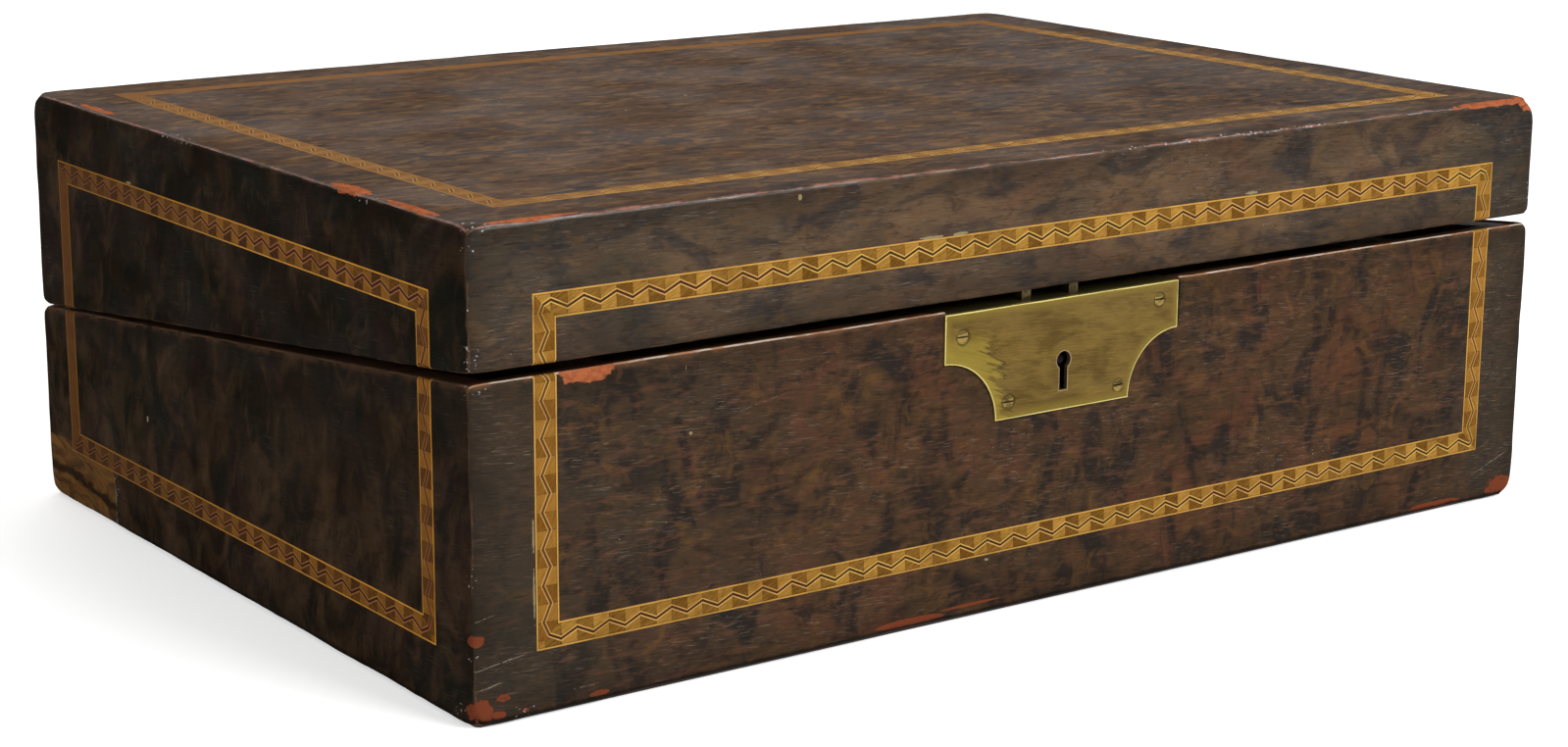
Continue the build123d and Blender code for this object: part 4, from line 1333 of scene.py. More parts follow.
@dataclass(frozen=True)
class TopVeneer(StainedVeneer):
    """The lid's top: warmer and cloudier, with its streaks along the box."""

    body: Colour = (0.092, 0.056, 0.037)
    dark: Colour = (0.030, 0.022, 0.018)
    cool: Colour = (0.060, 0.051, 0.049)
    grain: Point = (11, 0.8, 11)
    hair: Point = (12, 0.4, 12)
    grain_dark: float = 0.40
    grain_light: float = 0.25
    slant: Point = (0, 0, 3)
    seed: float = 31.0
    polish: float = 0.10
    edge_polish: float = 0.12

    def cooled(self, tree: Tree) -> Value:
        """Greyer in clouds towards the right."""
        x, _, _ = tree.parts()
        return x.rise(-40, 170) * tree.noise((50, 30, 40), 3, seed=8.0).rise(0.34, 0.66) * 0.8


@dataclass(frozen=True)
class EndVeneer(StainedVeneer):
    """The ends: darkest, partly as painted shade since the left end stands in shade and partly as darker
    veneer, with brown smears that run down, and a let-in repair at a back corner.
    """

    # dark partly as painted shade, partly as darker veneer
    body: Colour = (0.017, 0.011, 0.007)
    dark: Colour = (0.007, 0.005, 0.004)
    cool: Colour = (0.012, 0.012, 0.008)
    stroke: Colour = (0.060, 0.040, 0.026)
    hairline: Colour = (0.085, 0.066, 0.050)
    ground: Colour = (0.40, 0.10, 0.045)
    # colour of dust specks, of the repair's pale joint and of the painted glints
    pale_mark_and_glint: Colour = (0.55, 0.52, 0.48)
    grain: Point = (7, 7, 0.5)
    hair: Point = (8, 9, 0.3)
    grain_dark: float = 0.45
    grain_light: float = 0.22
    slant: Point = (4, 0, 0)
    smear: Point = (-18, 0, 0)
    dusty: float = 0.08
    edge_dark: float = 0.2
    seed: float = 57.0
    polish: float = 0.03
    edge_polish: float = 0.05
    smeared: Colour = (0.088, 0.049, 0.024)
    repair_y: float = 87.0
    repair_top: float = 19.5
    repair_light: Colour = (0.200, 0.092, 0.026)
    repair_mid: Colour = (0.070, 0.034, 0.013)
    repair_dark: Colour = (0.016, 0.010, 0.006)

    def stained(self, t: Tree) -> bpy.types.NodeSocket:
        """The stains, and brown smears over them that grow towards the foot.

        Args:
            t: the material's tree.

        Returns:
            The colour.
        """
        _, _, z = t.parts()
        cloud = t.noise((15, 13, 19), 4, 0.8, self.seed + 41, t.turned(self.smear), 0.6)
        return t.mix(cloud.rise(0.40, 0.70) * z.rise(85, 20) * 0.62, super().stained(t), self.smeared)

    def cooled(self, tree: Tree) -> Value:
        """Hardly any grey."""
        return tree.noise((40, 40, 40), 2, seed=9.0).rise(0.55, 0.8) * 0.4

    def extra(self, tree: Tree, colour: bpy.types.NodeSocket) -> bpy.types.NodeSocket:
        """The repair: newer wood at the foot of the left end's back corner, split by a dark crack.

        Args:
            tree: the material's tree.
            colour: the colour round the repair.

        Returns:
            The colour with the repair.
        """
        x, y, z = tree.parts()
        ragged = tree.noise((7, 9, 5), 3, seed=2.0) - 0.5
        top = self.repair_top + (y - 110.0) * 0.06
        level = z - top + ragged * 7.0
        side = (y + ragged * 2.0).rise(self.repair_y - 0.3, self.repair_y + 0.5)
        inside = side * (x < 0.0) * level.rise(0.8, -0.8)
        grain = tree.noise((3, 15, 5), 4, 1.0, 6.0, tree.turned((-12, 0, 0)), 0.6)
        wood = tree.mix(grain.rise(0.34, 0.66), self.repair_mid, self.repair_light)
        crack = abs(z - 9.0 - (y - 112.0) * 0.10 + ragged * 9.0).rise(2.4, 0.7)
        wood = tree.mix(crack * 0.9, wood, self.repair_dark)
        joint = abs(y - self.repair_y + ragged * 2.0).rise(0.8, 0.2) * (z < 19.0) * (x < 0.0)
        colour = tree.mix(inside * 0.92, colour, wood)
        return tree.mix(joint * 0.22 * ragged.rise(-0.1, 0.1), colour, self.pale_mark_and_glint)


CREAM, ROSE, PINK = (0.60, 0.47, 0.37), (0.42, 0.21, 0.12), (0.34, 0.15, 0.105)
HIGHLIGHT_GREY, TAN, UMBER = (0.46, 0.41, 0.385), (0.20, 0.105, 0.060), (0.105, 0.062, 0.040)
FRONT_CORNER, END_CORNER = EdgeLine(0.35, 0.8, UMBER, TAN, 0.48), EdgeLine(0.25, 0.8, UMBER, TAN, 0.48)
# The base's front rim: a thin cream line, partly rubbed through and partly a painted highlight on the rounded
# rim.
BASE_FRONT_EDGES = (HIDDEN_LINE, EdgeLine(0.92, 0.34, CREAM, ROSE, 0.28, 0.55), FRONT_CORNER)
# The lid's front top edge: a painted highlight in pale grey, pink in stretches.
LID_FRONT_EDGES = (EdgeLine(0.62, 0.6, HIGHLIGHT_GREY, PINK, 0.34), EdgeLine(0.45, 0.35, TAN, UMBER, 0.44),
                   FRONT_CORNER)
TOP_EDGES = (EdgeLine(0.80, 1.2, PINK, UMBER, 0.36), HIDDEN_LINE, HIDDEN_LINE)
BASE_END_EDGES = (HIDDEN_LINE, EdgeLine(0.55, 0.40, TAN, UMBER, 0.34, 0.30), END_CORNER)
LID_END_EDGES = (EdgeLine(0.40, 0.6, UMBER, TAN, 0.46), EdgeLine(0.30, 0.5, UMBER, TAN, 0.46),
                 END_CORNER)
BASE_FINISHES = (
    StainedVeneer("base_long_veneer", BASE_STAINS, BASE_RED, BASE_GLINTS, BASE_SCRATCHES, BASE_FRONT_EDGES,
                  margin_share=0.6, foot_painted_shade=0.9),
    EndVeneer("base_end_veneer", END_STAINS, BASE_RED, BASE_GLINTS, (), BASE_END_EDGES, foot_painted_shade=0.8),
)
LID_FINISHES = (
    StainedVeneer("lid_long_veneer", LID_STAINS, LID_RED, LID_GLINTS, LID_SCRATCHES, LID_FRONT_EDGES,
                  body=(0.076, 0.052, 0.033), cool=(0.043, 0.038, 0.028), stroke=(0.145, 0.110, 0.080),
                  grain=(5.5, 5.5, 0.44), slant=(0, -1.5, 0), grain_light=0.62, grain_dark=0.58,
                  hairy=0.34, seed=17.0, edge_polish=0.5),
    EndVeneer("lid_end_veneer", END_STAINS, LID_RED, LID_GLINTS, (), LID_END_EDGES, seed=71.0),
)
TOP_FINISH = TopVeneer("top_veneer", TOP_STAINS, LID_RED, LID_GLINTS, edges=TOP_EDGES)


@dataclass(frozen=True)
class Parquetry(Finish):
    """Banding of two rows of small blocks that a zigzag of a dark line between two pale ones parts."""

    pale: Colour = (0.76, 0.470, 0.125)
    coral: Colour = (0.72, 0.385, 0.130)     # the pale lines' colour in stretches
    dark: Colour = (0.018, 0.007, 0.002)
    joint: Colour = (0.042, 0.017, 0.003)
    light_block: Colour = (0.43, 0.225, 0.040)
    dark_block: Colour = (0.125, 0.052, 0.007)
    orange: Colour = (0.230, 0.088, 0.011)
    border: Colour = (0.66, 0.355, 0.080)
    peak: float = 2.15      # from the outer edge to the zigzag's near vertices
    trough: float = 4.5
    half_dark: float = 0.36
    pale_reach: float = 0.66
    pale_share: float = 0.82
    border_width: float = 0.48

    def soiled(self, t: Tree) -> Number:
        """How much soil darkens it, beyond that in clouds."""
        return 0.0

    def material(self) -> bpy.types.Material:
        """Draws the pattern from distances along and across the strip.

        The zigzag's middle is a triangle wave of the distance along: it goes from peak to trough
        and back within one pattern length. Its lines are bands of distance from that middle.

        Returns:
            The material.
        """
        t = Tree(self.name)
        u, v, plain = t.parts(t.attribute("strip"))
        turns = u / PATTERN
        share = turns.fraction()
        wave = 1.0 - abs(share * 2.0 - 1.0)
        rise = self.trough - self.peak
        middle = self.peak + wave * rise
        steep = 1.0 / math.hypot(1.0, 2.0 * rise / PATTERN)
        off = (v - middle) * steep
        line = abs(off)
        worn = t.noise((2.2, 2.2, 2.2), 2, seed=1.0) - 0.5
        dark_line = (line + worn * 0.10).rise(self.half_dark + 0.05, self.half_dark - 0.05)
        pale_line = (line + worn * 0.16).rise(self.pale_reach + 0.06, self.pale_reach - 0.06)
        to_vertex = share.least(abs(share - 0.5)).least(1.0 - share) * PATTERN
        joint = (to_vertex + line.rise(0.4, 2.4) * 0.12).rise(0.26, 0.06)
        lines_shown = plain.rise(0.95, 0.65)
        row = v > middle
        block = (turns * 2.0).floor()
        seed = t.chance(t.joined(block, row, plain))
        first = share < 0.5
        grain_spot = t.joined(u * 0.9 + v * 0.42, v * 0.9 - u * 0.42, seed * 9.0)
        grain = t.noise((3.0, 0.20, 1.0), 3, 0.2, 3.0, grain_spot)
        shine = grain.rise(0.28, 0.72)
        light = first * (0.55 + seed * 0.35) + (1.0 - first) * seed * 0.40 + (shine - 0.5) * 0.45
        blocks = t.mix(light, self.dark_block, self.light_block)
        blocks = t.mix(plain * (0.7 + seed * 0.4), blocks, self.orange)
        blocks = t.mix(shine.rise(0.45, 0.0) * 0.32, blocks, self.joint)
        colour = t.mix(joint * (0.75 - plain * 0.6), blocks, self.joint)
        pale = t.mix(t.noise((70, 70, 70), 2, 0.0, 11.0).rise(0.40, 0.58), self.pale, self.coral)
        colour = t.mix(pale_line * (1.0 - plain * 0.8) * lines_shown * self.pale_share, colour, pale)
        colour = t.mix(dark_line * (0.95 - plain * 0.30) * lines_shown, colour, self.dark)
        to_edge = v.least(BAND - v)
        seam = abs(to_edge - self.border_width - 0.08).rise(0.14, 0.04)
        colour = t.mix(seam * 0.5, colour, self.joint)
        string = (to_edge + worn * 0.12).rise(self.border_width + 0.03, self.border_width - 0.06)
        faded = tuple(c * 0.62 for c in self.border)
        colour = t.mix(string, colour, t.mix(t.noise((9, 9, 9), 2, seed=7.0), self.border, faded))
        soil = t.noise((14, 14, 14), 4, 0.6, 21.0, roughness=0.6)
        colour = t.mix((soil.rise(0.50, 0.74) * 0.5).most(self.soiled(t)), colour, self.dark_block)
        rough = 0.40 + soil * 0.2
        height = grain * 0.15 - joint * 0.5 - seam * 0.7 - dark_line * 0.25
        normal = t.bump(height, 0.10, 0.8)
        return t.finish(Base_Color=colour, Roughness=rough, Normal=normal, Specular_IOR_Level=0.0,
                        Coat_Weight=0.06, Coat_Roughness=0.28)


@dataclass(frozen=True)
class EndParquetry(Parquetry):
    """The banding of the ends: redder and darker, and dull towards the back."""

    pale: Colour = (0.60, 0.275, 0.070)
    coral: Colour = (0.55, 0.215, 0.075)
    dark: Colour = (0.030, 0.004, 0.003)
    joint: Colour = (0.022, 0.006, 0.002)
    light_block: Colour = (0.310, 0.130, 0.016)
    dark_block: Colour = (0.046, 0.013, 0.001)
    orange: Colour = (0.225, 0.080, 0.008)
    border: Colour = (0.76, 0.340, 0.050)
    half_dark: float = 0.40
    pale_reach: float = 0.68
    pale_share: float = 0.60

    def soiled(self, t: Tree) -> Number:
        """More towards the back."""
        _, y, _ = t.parts()
        return y.rise(-60, 130) * 0.62


@dataclass(frozen=True)
class TopParquetry(Parquetry):
    """The banding of the top: golden in front, browner on the left and dull along the back."""

    dark_block: Colour = (0.190, 0.078, 0.021)
    light_block: Colour = (0.42, 0.215, 0.052)

    def soiled(self, t: Tree) -> Number:
        """More on the left and along the back."""
        x, y, _ = t.parts()
        return (x.rise(-150, -172) * 0.55).most(y.rise(60, 112) * 0.85)


FRONT_PARQUETRY = Parquetry("front_parquetry")
END_PARQUETRY = EndParquetry("end_parquetry")
TOP_PARQUETRY = TopParquetry("top_parquetry")


@dataclass(frozen=True)
class PlateBrass(Finish):
    """The lock plate's old brass: browned, with a thin bright outline of painted highlight, painted shade on
    its set-back faces, and wear at its left end.
    """

    brown: Colour = (0.082, 0.049, 0.012)
    gold: Colour = (0.165, 0.106, 0.026)
    bright: Colour = (0.245, 0.180, 0.030)
    # colour of the painted highlight along the plate's edge
    outline: Colour = (0.640, 0.540, 0.190)
    ring: Colour = (0.330, 0.230, 0.130)
    # grime, and painted shade on the faces set back behind the plate's front
    grime_and_shade: Colour = (0.035, 0.023, 0.011)
    half_width: float = 44.5
    foot: float = 58.5
    top: float = 92.0
    scoop: float = 19.0
    keyhole: float = 73.3       # height of the middle of the keyhole's round
    keyhole_radius: float = 2.65
    slot: float = 9.0
    half_slot: float = 1.5
    screws: tuple[tuple[float, float], ...] = LOCK_SCREWS

    def to_outline(self, t: Tree) -> Value:
        """Distance from the plate's outline: the least of those to its sides, ends and scoops.

        Args:
            t: the material's tree.

        Returns:
            The distance in millimetres, negative outside.
        """
        x, _, z = t.parts()
        side = self.half_width - abs(x - LOCK_X)
        high = z - self.foot
        square = side.least(high).least(self.top - z)
        scoop = t.maths("SQRT", side * side + high * high) - self.scoop
        return square.least(scoop)

    def to_keyhole(self, t: Tree) -> Value:
        """Distance from the keyhole's outline: the less of those to its round and its slot.

        Args:
            t: the material's tree.

        Returns:
            The distance in millimetres.
        """
        x, _, z = t.parts()
        across = abs(x - LOCK_X)
        up = z - self.keyhole
        to_round = abs(t.maths("SQRT", across * across + up * up) - self.keyhole_radius)
        middle = -0.5 * (self.keyhole_radius + self.slot)
        beyond = abs(up - middle) - 0.5 * (self.slot - self.keyhole_radius)
        return to_round.least((across - self.half_slot).most(beyond))

    def fan(self, t: Tree, cloud: Value) -> tuple[Value, Value]:
        """The left end's wear: how bright the strokes leave it, and their dark ragged ends.

        Args:
            t: the material's tree.
            cloud: noise from 0 to 1 that bends the fan's end.

        Returns:
            Both shares.
        """
        x, _, z = t.parts()
        stroke = t.noise((8, 9, 0.60), 3, 0.4, 6.0, t.turned((0, -20, 0)))
        end = -25.0 + (stroke - 0.5) * 20.0 + (cloud - 0.5) * 8.0 - (z - 72.0) * 0.30
        beyond = x - LOCK_X - end
        worn = beyond.rise(0.6, -2.2) * z.rise(88.0, 80.0)
        ends = abs(beyond + 0.2).rise(2.0, 0.4) * z.rise(84.0, 78.0) * stroke.rise(0.46, 0.58)
        return worn * (0.30 + stroke * 0.90), ends

    def material(self) -> bpy.types.Material:
        """Mixes tarnish, brushing, grime, painted shade on the faces set back behind the front and the bright
        outline of painted highlight.

        Returns:
            The material.
        """
        t = Tree(self.name)
        outline = self.to_outline(t)
        cloud = t.noise((13, 13, 6), 4, 0.8, 3.0)
        brush = t.noise((5, 5, 0.26), 3, 0.5, 5.0, t.turned((0, -4, 0)), 0.6)
        tone = cloud * 0.70 + brush * 0.55 - 0.10
        colour = t.mix(tone.rise(0.32, 0.70), self.brown, self.gold)
        scratch = t.noise((6, 6, 0.14), 1, 0.3, 9.0, t.turned((0, -11, 0))).rise(0.62, 0.74)
        colour = t.mix(scratch * cloud.rise(0.35, 0.6) * 0.6, colour, self.bright)
        marks = t.noise((4, 4, 0.30), 2, 0.5, 15.0, t.turned((0, 6, 0))).rise(0.66, 0.76)
        colour = t.mix(marks * 0.5, colour, self.grime_and_shade)
        worn, ends = self.fan(t, cloud)
        colour = t.mix(worn, colour, self.bright)
        colour = t.mix(ends * 0.7, colour, self.grime_and_shade)
        near = (outline + (cloud - 0.5) * 5.0 + (brush - 0.5) * 2.0).rise(3.2, 0.4)
        colour = t.mix(near * 0.40, colour, self.bright)
        # Painted highlight: a thin bright line along the plate's outline.
        thin = (outline + (cloud - 0.5) * 0.5).rise(0.42, 0.16)
        colour = t.mix(thin, colour, self.outline)
        # Painted shade on the faces set back behind the plate's front.
        _, y, _ = t.parts()
        colour = t.mix(y.rise(-139.6, -138.6) * 0.75, colour, self.grime_and_shade)
        keyed = self.to_keyhole(t).rise(0.45, 0.12)
        colour = t.mix(keyed * 0.8, colour, self.ring)
        places = [Patch((x, PLATE_FACE, z), (HEAD_REACH, 3.0, HEAD_REACH), 1.4) for x, z in self.screws]
        dirty = spots(t, places, cloud)
        pits = t.noise((1.4, 1.4, 0.9), 3, 0.4, 12.0).rise(0.66, 0.76)
        colour = t.mix((dirty * 0.5).most(pits * 0.45), colour, self.grime_and_shade)
        rough = 0.40 + cloud * 0.16 + dirty * 0.15 - near * 0.08
        height = brush * 0.3 - scratch * 0.3 - pits * 0.6 - marks * 0.3
        normal = t.bump(height, 0.06, 0.8)
        return t.finish(Base_Color=colour, Metallic=1.0, Roughness=rough, Normal=normal)


@dataclass(frozen=True)
class Metal(Finish):
    """Small metalwork: brass or steel with tarnish in clouds and fine wear."""

    clean: Colour
    tarnish: Colour
    amount: float = 0.5
    roughness: float = 0.38

    def material(self) -> bpy.types.Material:
        """Mixes tarnish over clean metal.

        Returns:
            The material.
        """
        t = Tree(self.name)
        cloud = t.noise((5, 5, 5), 4, 0.6, 2.0)
        fine = t.noise((1.2, 1.2, 0.3), 2, 0.0, 8.0)
        dull = (cloud * 0.8 + fine * 0.3).rise(0.75 - self.amount * 0.4, 0.85 - self.amount * 0.2)
        colour = self.extra(t, t.mix(dull, self.clean, self.tarnish))
        normal = t.bump(fine * 0.5 + cloud, 0.04, 0.7)
        return t.finish(Base_Color=colour, Metallic=1.0, Roughness=self.roughness + dull * 0.2, Normal=normal)


@dataclass(frozen=True)
class SlottedBrass(Metal):
    """The heads of the lock plate's screws, with painted shade in their slots and on their upper side."""

    heads: tuple[tuple[float, float], ...] = ()     # the heads' middles in x and z
    # colour of the painted shade in the slots and above the heads
    soil: Colour = (0.012, 0.008, 0.004)

    def extra(self, tree: Tree, colour: bpy.types.NodeSocket) -> bpy.types.NodeSocket:
        """Painted shade: a dark line across each head for its slot, and a shade above it.

        Args:
            tree: the material's tree.
            colour: the colour of clean and dull metal.

        Returns:
            The colour with the painted shade.
        """
        ragged = tree.noise((1.2, 1.2, 0.8), 2, seed=3.0)
        slots = [Patch((x, PLATE_FACE, z), (HEAD_REACH, 3.0, 0.30), 0.3) for x, z in self.heads]
        above = [Patch((x - 0.4, PLATE_FACE, z + 1.7), (2.4, 3.0, 1.0), 0.8) for x, z in self.heads]
        # Painted shade on each head's upper side, then in each slot.
        colour = tree.mix(spots(tree, above, ragged) * 0.55, colour, self.soil)
        return tree.mix(spots(tree, slots, ragged) * 0.9, colour, self.soil)


@dataclass(frozen=True)
class Walnut(Finish):
    """Polished cabinet wood: long grain, pores, darker growth bands and clouds of soil."""

    early: Colour = (0.115, 0.052, 0.024)
    late: Colour = (0.042, 0.020, 0.011)
    pore: Colour = (0.018, 0.009, 0.006)
    along: Point = (90, 9, 9)
    roughness: float = 0.50
    specular: float = 0.12

    def material(self) -> bpy.types.Material:
        """Mixes growth bands and pores that both run along the grain.

        Returns:
            The material.
        """
        t = Tree(self.name)
        bands = t.noise(self.along, 4, 1.4, 4.0)
        ripples = t.noise(tuple(s * 0.33 for s in self.along), 3, 0.5, 9.0)
        pores = t.noise(tuple(s * 0.045 + 0.1 for s in self.along), 1, 0.0, 14.0).rise(0.60, 0.70)
        wood = t.mix((bands * 0.65 + ripples * 0.35).rise(0.34, 0.66), self.late, self.early)
        soil = t.noise((38, 38, 38), 3, 0.4, 19.0)
        wood = t.mix(soil.rise(0.50, 0.74) * 0.45, wood, self.late)
        colour = t.mix(pores * 0.65, wood, self.pore)
        normal = t.bump(ripples * 0.2 - pores * 0.5, 0.08, 0.8)
        rough = self.roughness + soil * 0.14 + pores * 0.1
        return t.finish(Base_Color=colour, Roughness=rough, Normal=normal, Specular_IOR_Level=self.specular)


@dataclass(frozen=True)
class TooledLeather(Finish):
    """Green writing leather with a grain, scuffs and a gilt border pressed round it."""

    body: Colour = (0.030, 0.058, 0.034)
    scuffed: Colour = (0.088, 0.098, 0.055)
    dark: Colour = (0.012, 0.020, 0.014)
    gilt: Colour = (0.46, 0.30, 0.085)
    fillet: float = 7.0
    inner_fillet: float = 10.4
    lozenge: float = 5.2

    def material(self) -> bpy.types.Material:
        """Draws the border from the distance to the leather's edge, over a pebbled grain.

        Returns:
            The material.
        """
        t = Tree(self.name)
        to_edge, along, _ = t.parts(t.attribute("border"))
        pebble = t.node("ShaderNodeTexVoronoi", {"feature": "DISTANCE_TO_EDGE"},
                        {"Vector": t.place(), "Scale": 0.62, "Randomness": 1.0}).outputs["Distance"]
        crease = Value(t, pebble).rise(0.13, 0.01)
        cloud = t.noise((45, 45, 45), 4, 0.8, 2.0)
        rubbing = t.noise((9, 9, 9), 4, 0.4, 6.0)
        scuffs = t.noise((16, 0.7, 16), 2, 0.2, 11.0, t.turned((0, 0, 17)))
        colour = t.mix(cloud.rise(0.35, 0.7), self.body, self.dark)
        colour = t.mix((rubbing * 0.5 + cloud * 0.5).rise(0.50, 0.68) * 0.55, colour, self.scuffed)
        colour = t.mix(scuffs.rise(0.64, 0.74) * 0.35, colour, self.scuffed)
        colour = t.mix(crease * 0.5, colour, self.dark)
        thick = abs(to_edge - self.fillet).rise(0.62, 0.50)
        thin = abs(to_edge - self.inner_fillet).rise(0.28, 0.18)
        beat = abs((along / self.lozenge).fraction() - 0.5) * self.lozenge
        middle = (self.fillet + self.inner_fillet) / 2
        away = beat + abs(to_edge - middle)
        lozenges = away.rise(1.25, 1.10) * (1.0 - away.rise(0.85, 0.70))
        tooled = thick.most(thin).most(lozenges)
        kept = t.noise((4, 4, 4), 4, 0.0, 17.0).rise(0.36, 0.50)
        gold = tooled * kept
        colour = t.mix(gold, colour, self.gilt)
        height = rubbing * 0.2 - crease * 0.35 - tooled * 0.6
        normal = t.bump(height, 0.12, 0.8)
        rough = 0.56 + cloud * 0.1 - gold * 0.22
        return t.finish(Base_Color=colour, Roughness=rough, Metallic=gold * 0.85, Normal=normal,
                        Specular_IOR_Level=0.28)


@dataclass(frozen=True)
class BottleGlass(Finish):
    """Thick clear glass with faint ripples and a little dust."""

    tint: Colour = (0.86, 0.95, 0.90)

    def material(self) -> bpy.types.Material:
        """Clear glass whose roughness follows the dust.

        Returns:
            The material.
        """
        t = Tree(self.name)
        dust = t.noise((9, 9, 9), 4, 0.3, 5.0)
        normal = t.bump(t.noise((14, 14, 14), 2, 0.0, 3.0), 0.25, 0.6)
        tint = t.mix(dust.rise(0.5, 0.75), self.tint, tuple(c * 0.9 for c in self.tint))
        return t.finish(Base_Color=tint, Roughness=0.03 + dust.rise(0.5, 0.8) * 0.15, Normal=normal,
                        Transmission_Weight=1.0, IOR=1.5)


PLATE_BRASS = PlateBrass("plate_brass")
BRASS = Metal("brass", (0.24, 0.160, 0.046), (0.065, 0.041, 0.016), 0.6, 0.50)
CAP_BRASS = Metal("cap_brass", (0.085, 0.056, 0.018), (0.020, 0.014, 0.007), 0.6, 0.60)
SCREW_BRASS = SlottedBrass("screw_brass", (0.270, 0.190, 0.055), (0.070, 0.046, 0.017), 0.5, 0.40,
                           LOCK_SCREWS)
LOCK_BRASS = Metal("lock_brass", (0.095, 0.074, 0.036), (0.028, 0.021, 0.012), 0.7, 0.46)
# Near black: painted shade, so the lock's works look dark through the keyhole.
SHADED_LOCK_STEEL = Metal("lock_steel", (0.012, 0.011, 0.010), (0.006, 0.005, 0.004), 0.7, 0.64)
HINGE_BRASS = Metal("hinge_brass", (0.25, 0.165, 0.050), (0.055, 0.036, 0.017), 0.75, 0.42)
STEEL = Metal("steel", (0.16, 0.15, 0.14), (0.045, 0.032, 0.024), 0.6, 0.36)
CARCASE_WOOD = Walnut("carcase_wood")
INTERIOR = Walnut("interior_wood", (0.150, 0.066, 0.028), (0.060, 0.026, 0.013))
CROSS_WOOD = Walnut("cross_wood", (0.150, 0.066, 0.028), (0.060, 0.026, 0.013), along=(9, 90, 9))
FLAP_WOOD = Walnut("flap_wood", (0.125, 0.052, 0.022), (0.046, 0.020, 0.010))
LEATHER = TooledLeather("writing_leather")
INK_GLASS = BottleGlass("ink_glass")


# ------------------------------------------------------------------------ metalwork
@dataclass(frozen=True)
class LockFittings:
    """The lock plate, its works and the link plate in the lid, with the widths of their bevels."""

    plate: float = 0.22
    screws: float = 0.10
    case: float = 0.12
    works: float = 0.08

    def build(self) -> None:
        """Dresses the plate and every piece of the lock."""
        dress(("lock_plate",), self.plate, PLATE_BRASS)
        dress(("lock_plate_screws", "link_plate_screws"), self.screws, SCREW_BRASS)
        dress(("lock_case", "link_plate"), self.case, LOCK_BRASS)
        dress(("lock_key_post", "lock_spring", "lock_bolt"), self.works, SHADED_LOCK_STEEL)


@dataclass(frozen=True)
class Hinges:
    """The main hinges, the flaps' small ones and the turn button, with the widths of their bevels."""

    main: float = 0.10
    small: float = 0.06
    pins: float = 0.08
    button: float = 0.15

    def build(self) -> None:
        """Dresses leaves, screws and pins, and the turn button with its screw."""
        halves = ("base", "lid")
        main = [f"main_hinge_{half}_{kind}" for kind in ("leaves", "screws") for half in halves]
        small = [f"{half}_flap_{kind}_leaves" for half in halves for kind in ("fixed", "moving")]
        pins = ("main_hinge_pins", "base_flap_hinge_pins", "lid_flap_hinge_pins")
        dress(main, self.main, HINGE_BRASS, 1)
        dress(small, self.small, HINGE_BRASS, 1)
        dress(pins, self.pins, STEEL)
        dress(("turn_button",), self.button, BRASS)
        dress(("turn_button_screw",), self.main, BRASS)


# ------------------------------------------------------------------------ inside
@dataclass(frozen=True)
class WritingLeather:
    """A sheet of leather let into a flap, lying in the sloping plane of a rim."""

    half: Half
    thickness: float = 1.0
    puff: float = 0.12          # the leather swells this far above the wood in its middle
    pressed: float = 0.10       # depth of the tooled lines
    lines: tuple[float, float] = (LEATHER.fillet, LEATHER.inner_fillet)
    line_width: float = 0.6
    rolled: float = 0.25        # depth to which the very edge is rolled down
    roll: float = 0.8           # from the edge to where it is level
    swell: float = 4.0          # from the edge to where it has swollen
    glue: float = 0.02          # gap under the sheet
    spacing: float = 4.0        # of the grid's lines in the middle
    crease: float = 60.0        # degrees past which an edge stays sharp
    uneven: Ripple = Ripple(50.0, 0.03, 5)
    # The grid's lines near an edge, close together at the tooled lines.
    edge_rows: tuple[float, ...] = (0.0, 0.3, 0.8, 1.6, 3.0, 5.0, 6.3, 6.6, 7.0, 7.4, 7.7, 8.6, 9.6, 10.1,
                                    10.4, 10.7, 11.3, 13.0)

    def lines_across(self, low: float, high: float) -> np.ndarray:
        """Places of the grid's lines from one edge to the other.

        Args:
            low: the lower edge.
            high: the higher edge.

        Returns:
            The places.
        """
        near = np.array(self.edge_rows)
        middle = between(low + near[-1], high - near[-1], self.spacing)
        return np.concatenate([low + near, middle, (high - near)[::-1]])

    def build(self) -> None:
        """Makes the leather as a closed sheet.

        Height above the flap's plane is the swelling, which rises with the distance from the edge,
        less the pressed lines, and the edge itself is rolled down.
        """
        node = f"{self.half.name}_flap_leather"
        low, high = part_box(node)
        x_end = high.x / MM
        y_low, y_high = low.y / MM, high.y / MM
        lines = self.lines_across(-x_end, x_end), self.lines_across(y_low, y_high)
        x, y = np.meshgrid(*lines, indexing="ij")
        to_edge = np.minimum(np.minimum(x_end - np.abs(x), y - y_low), y_high - y)
        rise = self.puff * smooth(to_edge / self.swell) + self.uneven.at(np.stack([x, y, 0 * x], -1))
        rise -= sum(self.pressed * np.exp(-((to_edge - line) / self.line_width) ** 2) for line in self.lines)
        rise -= self.rolled * (1.0 - smooth(to_edge / self.roll))
        front, back = self.half.rims
        fall = (front - back) / (2 * HALF_DEPTH)
        normal = np.array([0.0, fall, 1.0]) / math.hypot(1.0, fall)
        plane = self.half.rim(y) - self.half.upward * FLAP_RECESS * math.hypot(1.0, fall)
        surface = np.stack([x, y, plane], -1)
        outer = surface + (self.half.upward * rise)[..., None] * normal
        inner = surface - self.half.upward * (self.thickness - self.glue) * normal
        long_side = np.minimum(y - y_low, y_high - y) < x_end - np.abs(x)
        border = np.stack([to_edge, np.where(long_side, x, y), 0 * x], -1)
        piece = slab(outer, inner, border=border).piece(f"tooled_{node}", self.crease)
        show(piece, node, LEATHER)


